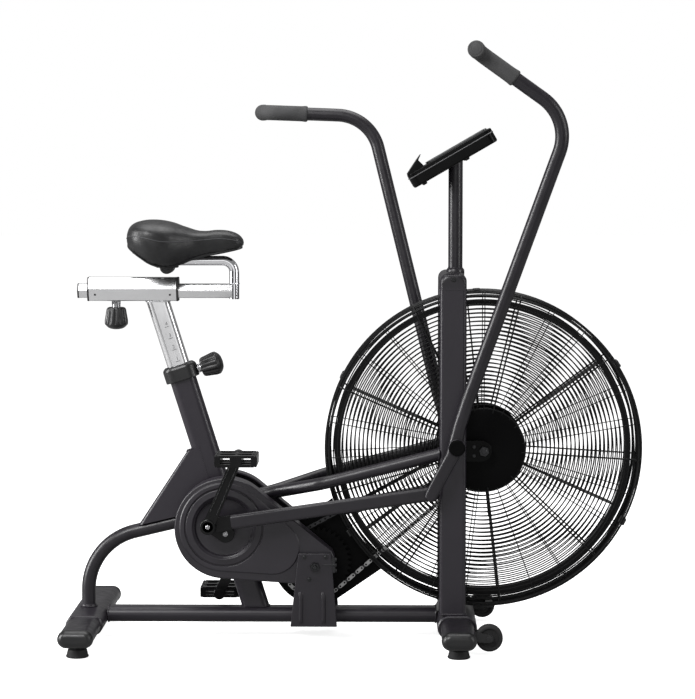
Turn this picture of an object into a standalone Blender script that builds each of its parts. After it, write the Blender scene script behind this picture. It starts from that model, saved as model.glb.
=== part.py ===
"""Air bike: a chain-driven fan bike with swinging handles, as separate pieces.

Metres. +X is forward, +Y the rider's left, +Z up. The origin is on the floor under
the middle of the bike. The crank is at the start of its stroke: right pedal up,
right handle forward. Points written as pairs are (x, z) in the bike's side plane.
"""
from math import acos, atan2, cos, hypot, pi, radians, sin, sqrt, tan

import bmesh
import bpy
from mathutils import Vector

GAP = 0.0004
SIDES = {"right": -1, "left": 1}
ACROSS = Vector((0, 1, 0))

# Base and stabilizers
BASE_Z = 0.052
BASE_WIDTH = 0.060
BASE_HEIGHT = 0.034
REAR_TUBE = (-0.6005, 0.0455)
REAR_TUBE_SIZE = (0.076, 0.037)
FRONT_TUBE = (0.228, 0.043)
FRONT_TUBE_SIZE = (0.074, 0.038)
STABILIZERS = {"rear": (REAR_TUBE, REAR_TUBE_SIZE), "front": (FRONT_TUBE, FRONT_TUBE_SIZE)}
TUBE_HALF_LENGTH = 0.272
CAP_END = 0.292
SLEEVE_HALF = 0.125
REAR_SLEEVE = 0.0035
FRONT_SLEEVE = 0.007
FOOT_Y = 0.240
WHEEL_CENTRE = (0.2955, 0.037)
WHEEL_RADIUS = 0.0295
WHEEL_Y = 0.200
WHEEL_HALF_WIDTH = 0.012

# Seat tube, rear arch and gusset
SEAT_TILT = radians(17.5)
SEAT_TOP = (-0.390, 0.593)
SEAT_TUBE_SIZE = (0.037, 0.060)
SEAT_TUBE_BORE = (0.031, 0.054)
SEAT_TUBE_END = -0.010
BORE_DEPTH = -0.335
SHELL_HALF = 0.034
SHELL_RADIUS = 0.028
SHELL_BORE = 0.020
ARCH_RADIUS = 0.016
ARCH_CORNER = (-0.604, 0.2138)
ARCH_BEND = 0.137
ARCH_RISE = radians(13.5)
GUSSET_TOP_Z = 0.4255
GUSSET_TAIL_X = -0.486
GUSSET_WIDTH = 0.034
SIDE_TUBE_RADIUS = 0.014
SIDE_TUBE_BEND = 0.070
SIDE_TUBE_REAR = (-0.270, 0.308)
SIDE_TUBE_FRONT = (0.188, 0.427)
SIDE_TUBE_TWIN = ((-0.280, 0.0162), (-0.180, 0.0175))
SIDE_TUBE_SPLAYED = (-0.072, 0.0855)

# Uprights, mast and console
UPRIGHT_X = 0.2175
UPRIGHT_SIZE = (0.059, 0.030)
UPRIGHT_Y = 0.097
UPRIGHT_TOP = 0.790
BRIDGE_TOP = 0.828
AXLE_PLATE_RADIUS = 0.0235
AXLE_PLATE_Y = (0.083, 0.090)
AXLE_HOLE_RADIUS = 0.0092
MAST_X = 0.2245
MAST_RADIUS = 0.016
MAST_COLLAR_RADIUS = 0.021
CONSOLE_CENTRE = (0.2152, 1.0810)
CONSOLE_TILT = radians(30)
CONSOLE_SIZE = (0.211, 0.180, 0.033)
CONSOLE_LIP = ((-0.1040, 0.0120), (-0.1040, 0.0190), (-0.0560, 0.0425), (-0.0676, 0.0350),
               (-0.0616, 0.0120))
SCREEN_THICKNESS = 0.004
SCREEN_SPAN = (-0.055, 0.097)

# Fan and its guard
FAN = (0.287, 0.433)
GUARD_RADIUS = 0.355
GUARD_HALF = 0.068
GUARD_DISC = 0.088
BLADE_TIP = 0.325
BLADES = 10
BLADE_Y = (-0.008, 0.055)
BLADE_HALF = 0.0012
FAN_HUB_RADIUS = 0.040
GUARD_SPOKES = 9
GUARD_WIRE = 0.003
GUARD_RINGS = (0.0095, GUARD_DISC, 0.215, 0.221, GUARD_RADIUS - 0.008, GUARD_RADIUS)
GUARD_RIM_REACH = {"right": 0.038, "left": -0.008}

# Drive
CRANK = (-0.286, 0.250)
JACK = (-0.088, 0.174)
CHAINRING_RADIUS = 0.097
PINION_RADIUS = 0.0325
JACK_SPROCKET_RADIUS = 0.077
FAN_SPROCKET_RADIUS = 0.0284
PRIMARY_Y = -0.062
SECONDARY_Y = -0.030
CHAIN_HALF = 0.004
SPROCKET_UNDERCUT = 0.0050
SPROCKET_HALF = 0.003
COVER_INNER = 0.040
COVER_OUTER = 0.088
COVER_WALL = 0.003
COVER_DISCS = (((-0.289, 0.258), 0.113), (JACK, 0.043), ((-0.062, 0.195), 0.017))
BRACKET_INNER = 0.090
CHAIN_GUARD_RADIUS = 0.0975
CHAIN_GUARD_Y = (-0.018, -0.014)
BRACKET_OUTER = 0.096
BRACKET_FOOT = ((-0.143, 0.039), (-0.039, 0.039))
BRACKET_HEAD = ((-0.052, 0.204), (-0.125, 0.204))
BRACKET_FOOT_THICKNESS = 0.006

# Crank, link and handle linkage
ECCENTRIC = 0.042
ECCENTRIC_ANGLE = radians(150)
PEDAL_RADIUS = 0.182
PEDAL_LEAD = radians(10)
HANDLE_PIVOT = (0.225, 0.449)
LEVER = 0.120
LINK = 0.4972
INNER_CRANK_Y = (0.098, 0.111)
LINK_Y = (0.116, 0.132)
CRANK_ARM_Y = (0.136, 0.152)
PIN_RADIUS = 0.008
HUB_Y = (0.136, 0.166)
HUB_RADIUS = 0.019
PEDAL_Y = (0.160, 0.255)
PEDAL_SIZE = (0.092, 0.026)
SPINDLE_RADIUS = 0.0065
AXLE_RADIUS = 0.010
BEARING_BORE = 0.0104
LEVER_Y = 0.144
CORNER_Y = 0.221
END_Y = 0.226
HANDLE_RADIUS = 0.015
HANDLE_FOOT = (-0.0075, 0.1015)
HANDLE_CORNER = (0.0251, 0.7535)
HANDLE_END = (-0.2166, 0.8359)
HANDLE_BEND = 0.100
ELBOW_SETBACK = 0.013
ELBOW_BEND = 0.030
ELBOW_ANGLE = radians(75)
TIP_LENGTH = 0.040
TUBE_SHORT_OF_TIP = 0.008
GRIP_LENGTH = 0.109
GRIP_RADIUS = 0.0185

# Seat
POST_SIZE = (0.028, 0.051)
POST_FOOT = -0.190
COLLAR_TOP = 0.026
SLIDE_CENTRE_Z = 0.788
SLIDE_X = (-0.600, -0.396)
SLIDE_SIZE = (0.056, 0.053)
INNER_SLIDE_REAR = -0.623
INNER_SLIDE_Z = 0.784
INNER_SLIDE_SIZE = (0.038, 0.032)
BAR_RADIUS = 0.011
BAR_X = -0.2712
BAR_Z = 0.8516
BAR_BEND = 0.026
CLAMP = (-0.421, 0.838)
KNOB_RADIUS = 0.0265
KNOB_RISE = 0.004
KNOB_HOLE_RADIUS = 0.0056
POST_KNOB_FACE = 0.0395
POST_KNOB_NECK = 0.008
SLIDE_KNOB_NECK = 0.014
KNOB_LENGTH = 0.050
SLIDE_KNOB_X = -0.537
CLAMP_BLOCK = (0.048, 0.0385)
CLAMP_BLOCK_FOOT = 0.836
SADDLE_RECESS_Z = 0.879

FINISHES = {
    "frame": ((0.022, 0.022, 0.024), 0.45, 0.0),
    "plastic": ((0.018, 0.018, 0.019), 0.35, 0.0),
    "rubber": ((0.012, 0.012, 0.013), 0.75, 0.0),
    "wire": ((0.010, 0.010, 0.011), 0.40, 0.0),
    "steel": ((0.62, 0.62, 0.63), 0.22, 1.0),
    "chrome": ((0.80, 0.80, 0.81), 0.08, 1.0),
    "dark_steel": ((0.10, 0.10, 0.11), 0.38, 1.0),
    "leather": ((0.016, 0.016, 0.018), 0.50, 0.0),
    "glass": ((0.02, 0.03, 0.03), 0.10, 0.0),
}


# ---------------------------------------------------------------- building tools

def at(pair, y=0.0):
    """A side-plane pair as a point at the given y."""
    return Vector((pair[0], y, pair[1]))


def clear_scene():
    for obj in list(bpy.data.objects):
        bpy.data.objects.remove(obj, do_unlink=True)


def material(name, finish):
    """A Principled material in one of the named finishes."""
    colour, roughness, metallic = FINISHES[finish]
    result = bpy.data.materials.new(name + "_finish")
    result.use_nodes = True
    shader = result.node_tree.nodes["Principled BSDF"]
    shader.inputs["Base Color"].default_value = (*colour, 1.0)
    shader.inputs["Roughness"].default_value = roughness
    shader.inputs["Metallic"].default_value = metallic
    return result


def publish(name, bm, finish, pivot=None):
    """Turn a bmesh in bike coordinates into an object with its origin on pivot."""
    origin = pivot if pivot else Vector((0, 0, 0))
    bmesh.ops.translate(bm, verts=bm.verts, vec=-origin)
    bmesh.ops.recalc_face_normals(bm, faces=bm.faces)
    mesh = bpy.data.meshes.new(name)
    bm.to_mesh(mesh)
    bm.free()
    mesh.materials.append(material(name, finish))
    mesh.shade_smooth()
    mesh.set_sharp_from_angle(angle=radians(35))
    obj = bpy.data.objects.new(name, mesh)
    obj.location = origin
    bpy.context.collection.objects.link(obj)
    return obj


def loft(bm, rings, closed=False):
    """Skin equal rings of points; cap both ends unless the rings close on themselves."""
    rows = [[bm.verts.new(point) for point in ring] for ring in rings]
    count = len(rows[0])
    pairs = list(zip(rows, rows[1:]))
    if closed:
        pairs.append((rows[-1], rows[0]))
    for lower, upper in pairs:
        for i in range(count):
            j = (i + 1) % count
            bm.faces.new((lower[i], lower[j], upper[j], upper[i]))
    if not closed:
        bm.faces.new(list(reversed(rows[0])))
        bm.faces.new(rows[-1])


def solid(name, rings, finish, pivot=None, closed=False):
    """One lofted object."""
    bm = bmesh.new()
    loft(bm, rings, closed)
    return publish(name, bm, finish, pivot)


def combine(obj, tool, operation):
    """Boolean the hidden tool into obj."""
    tool.hide_render = True
    tool.display_type = "WIRE"
    modifier = obj.modifiers.new(tool.name, "BOOLEAN")
    modifier.operation = operation
    modifier.solver = "EXACT"
    modifier.object = tool


def oval(width, height, radius=None, steps=4):
    """A rectangle with rounded corners as (u, v) pairs; a flat oval by default."""
    radius = min(width, height) / 2 if radius is None else radius
    points = []
    for turn in range(4):
        right = 1 if turn in (0, 3) else -1
        top = 1 if turn in (0, 1) else -1
        centre_u = right * (width / 2 - radius)
        centre_v = top * (height / 2 - radius)
        for step in range(steps + 1):
            angle = pi / 2 * (turn + step / steps)
            points.append((centre_u + radius * cos(angle), centre_v + radius * sin(angle)))
    return without_repeats(points)


def without_repeats(points):
    """Drop points that lie on the one before them."""
    kept = []
    for point in points:
        if not kept or hypot(point[0] - kept[-1][0], point[1] - kept[-1][1]) > 1e-6:
            kept.append(point)
    if hypot(kept[0][0] - kept[-1][0], kept[0][1] - kept[-1][1]) < 1e-6:
        kept.pop()
    return kept


def circle(radius, steps=16):
    """A round profile as (u, v) pairs."""
    return [(radius * cos(2 * pi * i / steps), radius * sin(2 * pi * i / steps))
            for i in range(steps)]


def placed(profile, centre, side, up):
    """A profile's pairs as points about centre, u along side and v along up."""
    return [centre + side * u + up * v for u, v in profile]


def rounded_path(points, radius, steps=6):
    """A polyline whose inner corners are replaced by arcs."""
    path = [points[0]]
    for before, corner, after in zip(points, points[1:], points[2:]):
        back = (before - corner).normalized()
        ahead = (after - corner).normalized()
        half = acos(max(-1.0, min(1.0, back.dot(ahead)))) / 2
        centre = corner + (back + ahead).normalized() * (radius / sin(half))
        first = (corner + back * (radius / tan(half)) - centre).normalized()
        last = (corner + ahead * (radius / tan(half)) - centre).normalized()
        for step in range(steps + 1):
            path.append(centre + first.slerp(last, step / steps) * radius)
    path.append(points[-1])
    return path


def sweep_rings(path, profiles, side=ACROSS):
    """Rings of the profiles along a path, kept square to it."""
    rings = []
    for i, point in enumerate(path):
        ahead = path[min(i + 1, len(path) - 1)]
        behind = path[max(i - 1, 0)]
        along = (ahead - point).normalized() + (point - behind).normalized()
        along.normalize()
        level = (side - along * side.dot(along)).normalized()
        up = along.cross(level)
        rings.append(placed(profiles[i], point, level, up))
    return rings


def trimmed(ring, direction, plane_point, plane_normal):
    """Slide a ring's points along direction until they lie on a plane."""
    scale = direction.dot(plane_normal)
    return [p + direction * ((plane_point - p).dot(plane_normal) / scale) for p in ring]


def turned_rings(profile, centre, axis, steps=20):
    """Rings for a turned shape; the profile is (distance along axis, radius) pairs."""
    axis = axis.normalized()
    side = axis.orthogonal().normalized()
    up = axis.cross(side)
    return [placed(circle(radius, steps), centre + axis * distance, side, up)
            for distance, radius in profile]


def turned(name, profile, centre, axis, finish, pivot=None, closed=False, steps=20):
    """One turned object; a closed profile gives a piece with a bore."""
    return solid(name, turned_rings(profile, centre, axis, steps), finish, pivot, closed)


def outline_slab(outline, y_low, y_high):
    """Two rings of a side-plane outline, for a plate."""
    return [[at(pair, y_low) for pair in outline], [at(pair, y_high) for pair in outline]]


def hull(circles, steps=48):
    """The outline of a belt pulled round circles given as (centre, radius)."""
    points = []
    for step in range(steps):
        angle = 2 * pi * (step + 0.5) / steps
        reach = [c[0] * cos(angle) + c[1] * sin(angle) + r for c, r in circles]
        centre, radius = circles[reach.index(max(reach))]
        points.append((centre[0] + radius * cos(angle), centre[1] + radius * sin(angle)))
    return points


def band(y, half):
    """The two y values of a layer centred on y."""
    return y - half, y + half


def layer(side, pair):
    """A layer given for the left side, on the named side, lowest y first."""
    return sorted((SIDES[side] * pair[0], SIDES[side] * pair[1]))


# ---------------------------------------------------------------- linkage

def circle_meet(first, first_radius, second, second_radius):
    """The lower of the two points at the given distances from two pairs."""
    dx, dz = second[0] - first[0], second[1] - first[1]
    gap = hypot(dx, dz)
    along = (first_radius ** 2 - second_radius ** 2 + gap ** 2) / (2 * gap)
    across = sqrt(first_radius ** 2 - along ** 2)
    middle = (first[0] + dx * along / gap, first[1] + dz * along / gap)
    options = [(middle[0] + s * across * dz / gap, middle[1] - s * across * dx / gap)
               for s in (1, -1)]
    return min(options, key=lambda pair: pair[1])


def crank_pin(side):
    """Where the link's rear eye turns on the crank."""
    sign = -SIDES[side]
    return (CRANK[0] + sign * ECCENTRIC * cos(ECCENTRIC_ANGLE),
            CRANK[1] + sign * ECCENTRIC * sin(ECCENTRIC_ANGLE))


def lever_end(side):
    """Where the link meets the handle's lower lever."""
    return circle_meet(HANDLE_PIVOT, LEVER, crank_pin(side), LINK)


def lever_lag(side):
    """How far the lever leans back from straight down, in radians."""
    end = lever_end(side)
    return atan2(HANDLE_PIVOT[0] - end[0], HANDLE_PIVOT[1] - end[1])


NEUTRAL_LAG = (lever_lag("right") + lever_lag("left")) / 2


def handle_point(side, pair, spread):
    """A point of the upright handle, swung to where the lever has it."""
    swing = lever_lag(side) - NEUTRAL_LAG
    x = HANDLE_PIVOT[0] + pair[0] * cos(swing) + pair[1] * sin(swing)
    z = HANDLE_PIVOT[1] - pair[0] * sin(swing) + pair[1] * cos(swing)
    return Vector((x, SIDES[side] * spread, z))


def pedal_centre(side):
    """The pedal spindle's pair."""
    sign = -SIDES[side]
    return (CRANK[0] + sign * PEDAL_RADIUS * sin(PEDAL_LEAD),
            CRANK[1] + sign * PEDAL_RADIUS * cos(PEDAL_LEAD))


# ---------------------------------------------------------------- base

def base_tube():
    profile = oval(BASE_WIDTH, BASE_HEIGHT)
    rear = REAR_TUBE[0] + REAR_TUBE_SIZE[0] / 2 + REAR_SLEEVE + GAP
    front = FRONT_TUBE[0] - FRONT_TUBE_SIZE[0] / 2 - FRONT_SLEEVE - GAP
    path = [Vector((rear, 0, BASE_Z)), Vector((front, 0, BASE_Z))]
    solid("base_tube", sweep_rings(path, [profile] * 2), "frame")


def cross_tube(name, centre, size, sleeve):
    """A stabilizer: a flat-oval tube in a longer, thicker sleeve at its middle."""
    rings = []
    for y, grow in ((-TUBE_HALF_LENGTH, 0), (-SLEEVE_HALF, 0), (-SLEEVE_HALF, sleeve),
                    (SLEEVE_HALF, sleeve), (SLEEVE_HALF, 0), (TUBE_HALF_LENGTH, 0)):
        profile = oval(size[0] + 2 * grow, size[1] + 2 * grow)
        rings.append([at((centre[0] + u, centre[1] + v), y) for u, v in profile])
    return solid(name, rings, "frame")


def end_cap(end, side):
    """The plastic cap on one end of a stabilizer."""
    centre, size = STABILIZERS[end]
    start = TUBE_HALF_LENGTH + GAP
    rings = []
    for y, grow in ((start, 0.0015), (start + 0.012, 0.0015),
                    (CAP_END - 0.003, -0.003), (CAP_END, -0.010)):
        profile = oval(size[0] + 2 * grow, size[1] + 2 * grow)
        rings.append([at((centre[0] + u, centre[1] + v), SIDES[side] * y) for u, v in profile])
    solid(f"end_cap_{end}_{side}", rings, "plastic")


def foot(end, side):
    """A rubber levelling foot under one end of a stabilizer."""
    centre, size = STABILIZERS[end]
    tube_bottom = centre[1] - size[1] / 2
    profile = ((0.0, 0.0225), (0.003, 0.0250), (0.017, 0.0200), (0.019, 0.0080),
               (tube_bottom - GAP, 0.0080))
    place = Vector((centre[0], SIDES[side] * FOOT_Y, 0))
    turned(f"foot_{end}_{side}", profile, place, Vector((0, 0, 1)), "rubber", place, steps=20)


def add_wheel_brackets(stabilizer):
    """Two plates and an axle bolt for each transport wheel."""
    root = (FRONT_TUBE[0] + FRONT_TUBE_SIZE[0] / 2 - 0.014, FRONT_TUBE[1])
    arm = hull([(root, 0.012), (WHEEL_CENTRE, 0.009)], 24)
    for side, sign in SIDES.items():
        for offset in (-0.0165, 0.0165):
            y = sign * WHEEL_Y + offset
            plate = solid(f"bracket_tool_{side}_{offset > 0}", outline_slab(arm, *band(y, 0.0015)),
                          "frame")
            combine(stabilizer, plate, "UNION")
        bolt = turned(f"wheel_bolt_tool_{side}", ((-0.0175, 0.004), (0.0175, 0.004)),
                      at(WHEEL_CENTRE, sign * WHEEL_Y), ACROSS, "frame", steps=16)
        combine(stabilizer, bolt, "UNION")


def wheel(side):
    centre = at(WHEEL_CENTRE, SIDES[side] * WHEEL_Y)
    half = WHEEL_HALF_WIDTH
    profile = ((-half, 0.0046), (-half, WHEEL_RADIUS - 0.003), (-half + 0.003, WHEEL_RADIUS),
               (half - 0.003, WHEEL_RADIUS), (half, WHEEL_RADIUS - 0.003), (half, 0.0046))
    turned(f"wheel_{side}", profile, centre, ACROSS, "rubber", centre, closed=True)


# ---------------------------------------------------------------- main frame

SEAT_UP = Vector((-sin(SEAT_TILT), 0, cos(SEAT_TILT)))
SEAT_FORWARD = Vector((cos(SEAT_TILT), 0, sin(SEAT_TILT)))


def on_seat_axis(distance, forward=0.0):
    """A point at a distance up the seat tube's axis, and forward of it."""
    return at(SEAT_TOP) + SEAT_UP * distance + SEAT_FORWARD * forward


def seat_ring(size, distance):
    """A flat-oval ring square to the seat tube."""
    return placed(oval(*size), on_seat_axis(distance), ACROSS, -SEAT_FORWARD)


def seat_tube():
    foot = trimmed(seat_ring(SEAT_TUBE_SIZE, -0.5), SEAT_UP,
                   Vector((0, 0, BASE_Z + BASE_HEIGHT / 2 + GAP)), Vector((0, 0, 1)))
    rings = [foot, seat_ring(SEAT_TUBE_SIZE, SEAT_TUBE_END),
             seat_ring(SEAT_TUBE_BORE, SEAT_TUBE_END), seat_ring(SEAT_TUBE_BORE, BORE_DEPTH)]
    tube = solid("seat_tube", rings, "frame")
    wall = ((-SHELL_HALF, SHELL_RADIUS), (SHELL_HALF, SHELL_RADIUS))
    shell = turned("crank_shell_tool", wall, at(CRANK), ACROSS, "frame")
    combine(tube, shell, "UNION")
    reach = ((-0.05, SHELL_BORE), (0.05, SHELL_BORE))
    bore = turned("crank_bore_tool", reach, at(CRANK), ACROSS, "frame")
    combine(tube, bore, "DIFFERENCE")


def arch_point(x):
    """The rear arch's centre line on its straight, rising part."""
    return at((x, ARCH_CORNER[1] + (x - ARCH_CORNER[0]) * tan(ARCH_RISE)))


def seat_tube_back(clearance=GAP):
    """A point and the normal of the plane just behind the seat tube."""
    return on_seat_axis(0, -SEAT_TUBE_SIZE[1] / 2 - clearance), SEAT_FORWARD


def rear_arch():
    """The bent tube behind the seat tube, with the gusset welded over it."""
    foot = at((ARCH_CORNER[0], REAR_TUBE[1] + REAR_TUBE_SIZE[1] / 2 + REAR_SLEEVE + GAP))
    path = rounded_path([foot, at(ARCH_CORNER), arch_point(-0.30)], ARCH_BEND, 10)
    rings = sweep_rings(path, [circle(ARCH_RADIUS)] * len(path))
    along = (path[-1] - path[-2]).normalized()
    rings[-1] = trimmed(rings[-1], along, *seat_tube_back())
    arch = solid("rear_arch", rings, "frame")
    combine(arch, seat_gusset(), "UNION")


def seat_gusset():
    """A folded plate behind the seat tube, with a rounded rear edge."""
    back_point, back_normal = seat_tube_back()
    lift = Vector((-sin(ARCH_RISE), 0, cos(ARCH_RISE))) * (ARCH_RADIUS - 0.003)
    tail = arch_point(GUSSET_TAIL_X) + lift
    along = Vector((cos(ARCH_RISE), 0, sin(ARCH_RISE)))
    heel = tail + along * ((back_point - tail).dot(back_normal) / along.dot(back_normal))
    top = heel + SEAT_UP * ((GUSSET_TOP_Z - heel.z) / SEAT_UP.z)
    crown = top - SEAT_FORWARD * 0.010
    outline = [(p.x, p.z) for p in (tail, heel, top, crown)]
    bm = bmesh.new()
    loft(bm, outline_slab(outline, *band(0, GUSSET_WIDTH / 2)))
    rear = Vector(crown) - Vector(tail)
    edges = [e for e in bm.edges
             if abs((e.verts[0].co - e.verts[1].co).length - rear.length) < 1e-5]
    bmesh.ops.bevel(bm, geom=edges, offset=0.009, segments=3, profile=0.5, affect="EDGES")
    return publish("gusset_tool", bm, "frame")


def side_tube(side):
    """A stay that runs beside its twin, splays round the fan guard and meets an upright."""
    rear, front = SIDE_TUBE_REAR, SIDE_TUBE_FRONT
    slope = (front[1] - rear[1]) / (front[0] - rear[0])

    def stay(x, y):
        return Vector((x, SIDES[side] * y, rear[1] + (x - rear[0]) * slope))

    plan = [*SIDE_TUBE_TWIN, SIDE_TUBE_SPLAYED, (front[0], UPRIGHT_Y)]
    path = rounded_path([stay(*point) for point in plan], SIDE_TUBE_BEND, 4)
    rings = sweep_rings(path, [circle(SIDE_TUBE_RADIUS)] * len(path), Vector((0, 0, 1)))
    seat_face = on_seat_axis(0, SEAT_TUBE_SIZE[1] / 2 + GAP)
    rings[0] = trimmed(rings[0], (path[1] - path[0]).normalized(), seat_face, SEAT_FORWARD)
    face = Vector((UPRIGHT_X - UPRIGHT_SIZE[0] / 2 - GAP, 0, 0))
    rings[-1] = trimmed(rings[-1], (path[-1] - path[-2]).normalized(), face, Vector((1, 0, 0)))
    solid(f"side_tube_{side}", rings, "frame")


def upright(side):
    """A leg of the fan's stand, with the plate that holds the fan axle."""
    sign = SIDES[side]
    profile = oval(*UPRIGHT_SIZE, 0.008, 3)
    foot = FRONT_TUBE[1] + FRONT_TUBE_SIZE[1] / 2 + FRONT_SLEEVE + GAP
    rings = [[Vector((UPRIGHT_X + u, sign * UPRIGHT_Y + v, z)) for u, v in profile]
             for z in (foot, UPRIGHT_TOP)]
    leg = solid(f"upright_{side}", rings, "frame")
    ends = ((UPRIGHT_X, FAN[1]), (FAN[0] - 0.006, FAN[1]))
    plate_outline = hull([(end, AXLE_PLATE_RADIUS) for end in ends], 24)
    plate = solid(f"axle_plate_tool_{side}",
                  outline_slab(plate_outline, *layer(side, AXLE_PLATE_Y)), "frame")
    combine(leg, plate, "UNION")
    reach = ((0.070, AXLE_HOLE_RADIUS), (0.110, AXLE_HOLE_RADIUS))
    hole = turned(f"axle_hole_tool_{side}", reach, at(FAN), ACROSS * sign, "frame", steps=16)
    combine(leg, hole, "DIFFERENCE")


def upright_bridge():
    """The rounded bar that joins the uprights over the fan guard."""
    half = UPRIGHT_Y + UPRIGHT_SIZE[1] / 2
    bottom = UPRIGHT_TOP + GAP
    rings = []
    for y, inset in ((-half, 0.012), (-half + 0.004, 0.004), (-half + 0.014, 0.0),
                     (half - 0.014, 0.0), (half - 0.004, 0.004), (half, 0.012)):
        width = UPRIGHT_SIZE[0] + 0.003
        height = BRIDGE_TOP - bottom - inset
        profile = oval(width - inset, height, 0.010, 3)
        rings.append([at((UPRIGHT_X + u, bottom + height / 2 + v), y) for u, v in profile])
    solid("upright_bridge", rings, "frame")


def console_frame():
    """The console's centre, its long direction and the direction it faces."""
    long = Vector((cos(CONSOLE_TILT), 0, sin(CONSOLE_TILT)))
    facing = Vector((-sin(CONSOLE_TILT), 0, cos(CONSOLE_TILT)))
    return at(CONSOLE_CENTRE), long, facing


def console_mast():
    """Round mast with a collar at its foot, cut to the console's slope."""
    centre, _, facing = console_frame()
    foot = BRIDGE_TOP + GAP
    profile = ((foot, MAST_COLLAR_RADIUS), (foot + 0.018, MAST_COLLAR_RADIUS),
               (foot + 0.024, MAST_RADIUS), (CONSOLE_CENTRE[1], MAST_RADIUS))
    rings = turned_rings(profile, Vector((MAST_X, 0, 0)), Vector((0, 0, 1)), 20)
    underside = centre - facing * (CONSOLE_SIZE[2] / 2 + GAP)
    rings[-1] = trimmed(rings[-1], Vector((0, 0, 1)), underside, facing)
    solid("console_mast", rings, "frame")


def console():
    """A tilted slab with a ledge at its lower end and a screen on top."""
    centre, long, facing = console_frame()
    length, width, thickness = CONSOLE_SIZE
    rings = []
    for depth, inset in ((-0.5, 0.012), (-0.3, 0.002), (0.3, 0.0), (0.5, 0.003)):
        profile = oval(length - 2 * inset, width - 2 * inset, 0.018 - inset, 4)
        rings.append(placed(profile, centre + facing * (thickness * depth), long, ACROSS))
    housing = solid("console_housing", rings, "plastic")
    ledge = [[centre + long * u + facing * v + ACROSS * y for u, v in CONSOLE_LIP]
             for y in (-0.082, 0.082)]
    combine(housing, solid("ledge_tool", ledge, "plastic"), "UNION")
    rear, front = SCREEN_SPAN
    rings = []
    for depth, inset in ((GAP, 0.012), (SCREEN_THICKNESS, 0.014)):
        profile = oval(front - rear, width - 2 * inset, 0.010, 4)
        face = centre + long * ((rear + front) / 2) + facing * (thickness / 2 + depth)
        rings.append(placed(profile, face, long, ACROSS))
    solid("console_screen", rings, "glass")


# ---------------------------------------------------------------- fan

def polar_plate(bm, radii, angles, filled, y_low, y_high):
    """A flat plate of ring cells about the fan axle; filled(band, step) keeps a cell."""
    steps = len(angles)
    corners = {}

    def corner(ring, step, y):
        key = (ring, step % steps, y)
        if key not in corners:
            angle = angles[step % steps]
            pair = (FAN[0] + radii[ring] * cos(angle), FAN[1] + radii[ring] * sin(angle))
            corners[key] = bm.verts.new(at(pair, y))
        return corners[key]

    def wall(first, second):
        bm.faces.new((corner(*first, y_low), corner(*second, y_low),
                      corner(*second, y_high), corner(*first, y_high)))

    bands = len(radii) - 1
    for ring in range(bands):
        for step in range(steps):
            if not filled(ring, step):
                continue
            cell = [(ring, step), (ring + 1, step), (ring + 1, step + 1), (ring, step + 1)]
            for y in (y_low, y_high):
                bm.faces.new([corner(i, j, y) for i, j in cell])
            if ring == 0 or not filled(ring - 1, step):
                wall(cell[0], cell[3])
            if ring == bands - 1 or not filled(ring + 1, step):
                wall(cell[1], cell[2])
            if not filled(ring, (step - 1) % steps):
                wall(cell[0], cell[1])
            if not filled(ring, (step + 1) % steps):
                wall(cell[3], cell[2])


def fan_guard(side):
    """Half of the wire guard: a grille with a centre disc, and its share of the rim."""
    sign = SIDES[side]
    per_spoke = 4
    half_spoke = radians(0.6)
    angles = []
    for spoke in range(GUARD_SPOKES):
        middle = 2 * pi * spoke / GUARD_SPOKES
        sector = 2 * pi / GUARD_SPOKES - 2 * half_spoke
        angles.append(middle - half_spoke)
        angles += [middle + half_spoke + sector * i / (per_spoke - 1)
                   for i in range(per_spoke - 1)]

    def filled(ring, step):
        return ring % 2 == 0 or step % per_spoke == 0

    bm = bmesh.new()
    polar_plate(bm, GUARD_RINGS, angles, filled,
                *layer(side, (GUARD_HALF - GUARD_WIRE, GUARD_HALF)))
    guard = publish(f"fan_guard_{side}", bm, "wire")
    inner, outer = GUARD_RADIUS - 0.005, GUARD_RADIUS
    start, reach = GUARD_HALF - 0.001, GUARD_RIM_REACH[side]
    profile = ((start, inner), (start, outer), (reach, outer), (reach, inner))
    rim = turned(f"guard_rim_tool_{side}", profile, at(FAN), ACROSS * sign, "wire",
                 closed=True, steps=48)
    combine(guard, rim, "UNION")


def fan_wheel():
    """Flat radial blades on a bored hub, with the driven sprocket on its right."""
    outline = []
    for blade in range(BLADES):
        middle = 2 * pi * (blade + 0.4) / BLADES
        for radius, turn in ((FAN_HUB_RADIUS, -1), (BLADE_TIP, -1), (BLADE_TIP, 1),
                             (FAN_HUB_RADIUS, 1)):
            angle = middle + turn * BLADE_HALF / radius
            outline.append((FAN[0] + radius * cos(angle), FAN[1] + radius * sin(angle)))
    wheel_body = solid("fan_wheel", outline_slab(outline, *BLADE_Y), "dark_steel", at(FAN))
    rim = FAN_SPROCKET_RADIUS - SPROCKET_UNDERCUT
    low, high = band(SECONDARY_Y, SPROCKET_HALF)
    profile = ((low, rim), (high, rim), (high, 0.018), (-0.004, 0.018))
    combine(wheel_body, turned("fan_sprocket_tool", profile, at(FAN), ACROSS, "dark_steel"),
            "UNION")
    reach = ((-0.05, AXLE_HOLE_RADIUS), (0.07, AXLE_HOLE_RADIUS))
    bore = turned("fan_bore_tool", reach, at(FAN), ACROSS, "dark_steel", steps=16)
    combine(wheel_body, bore, "DIFFERENCE")


def fan_axle():
    """The fixed axle with a nut outside each plate."""
    end, nut = 0.101, 0.0905
    profile = ((-end, 0.0085), (-end, 0.014), (-nut, 0.014), (-nut, 0.0085),
               (nut, 0.0085), (nut, 0.014), (end, 0.014), (end, 0.0085))
    turned("fan_axle", profile, at(FAN), ACROSS, "dark_steel", steps=16)


# ---------------------------------------------------------------- chain drive

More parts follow.
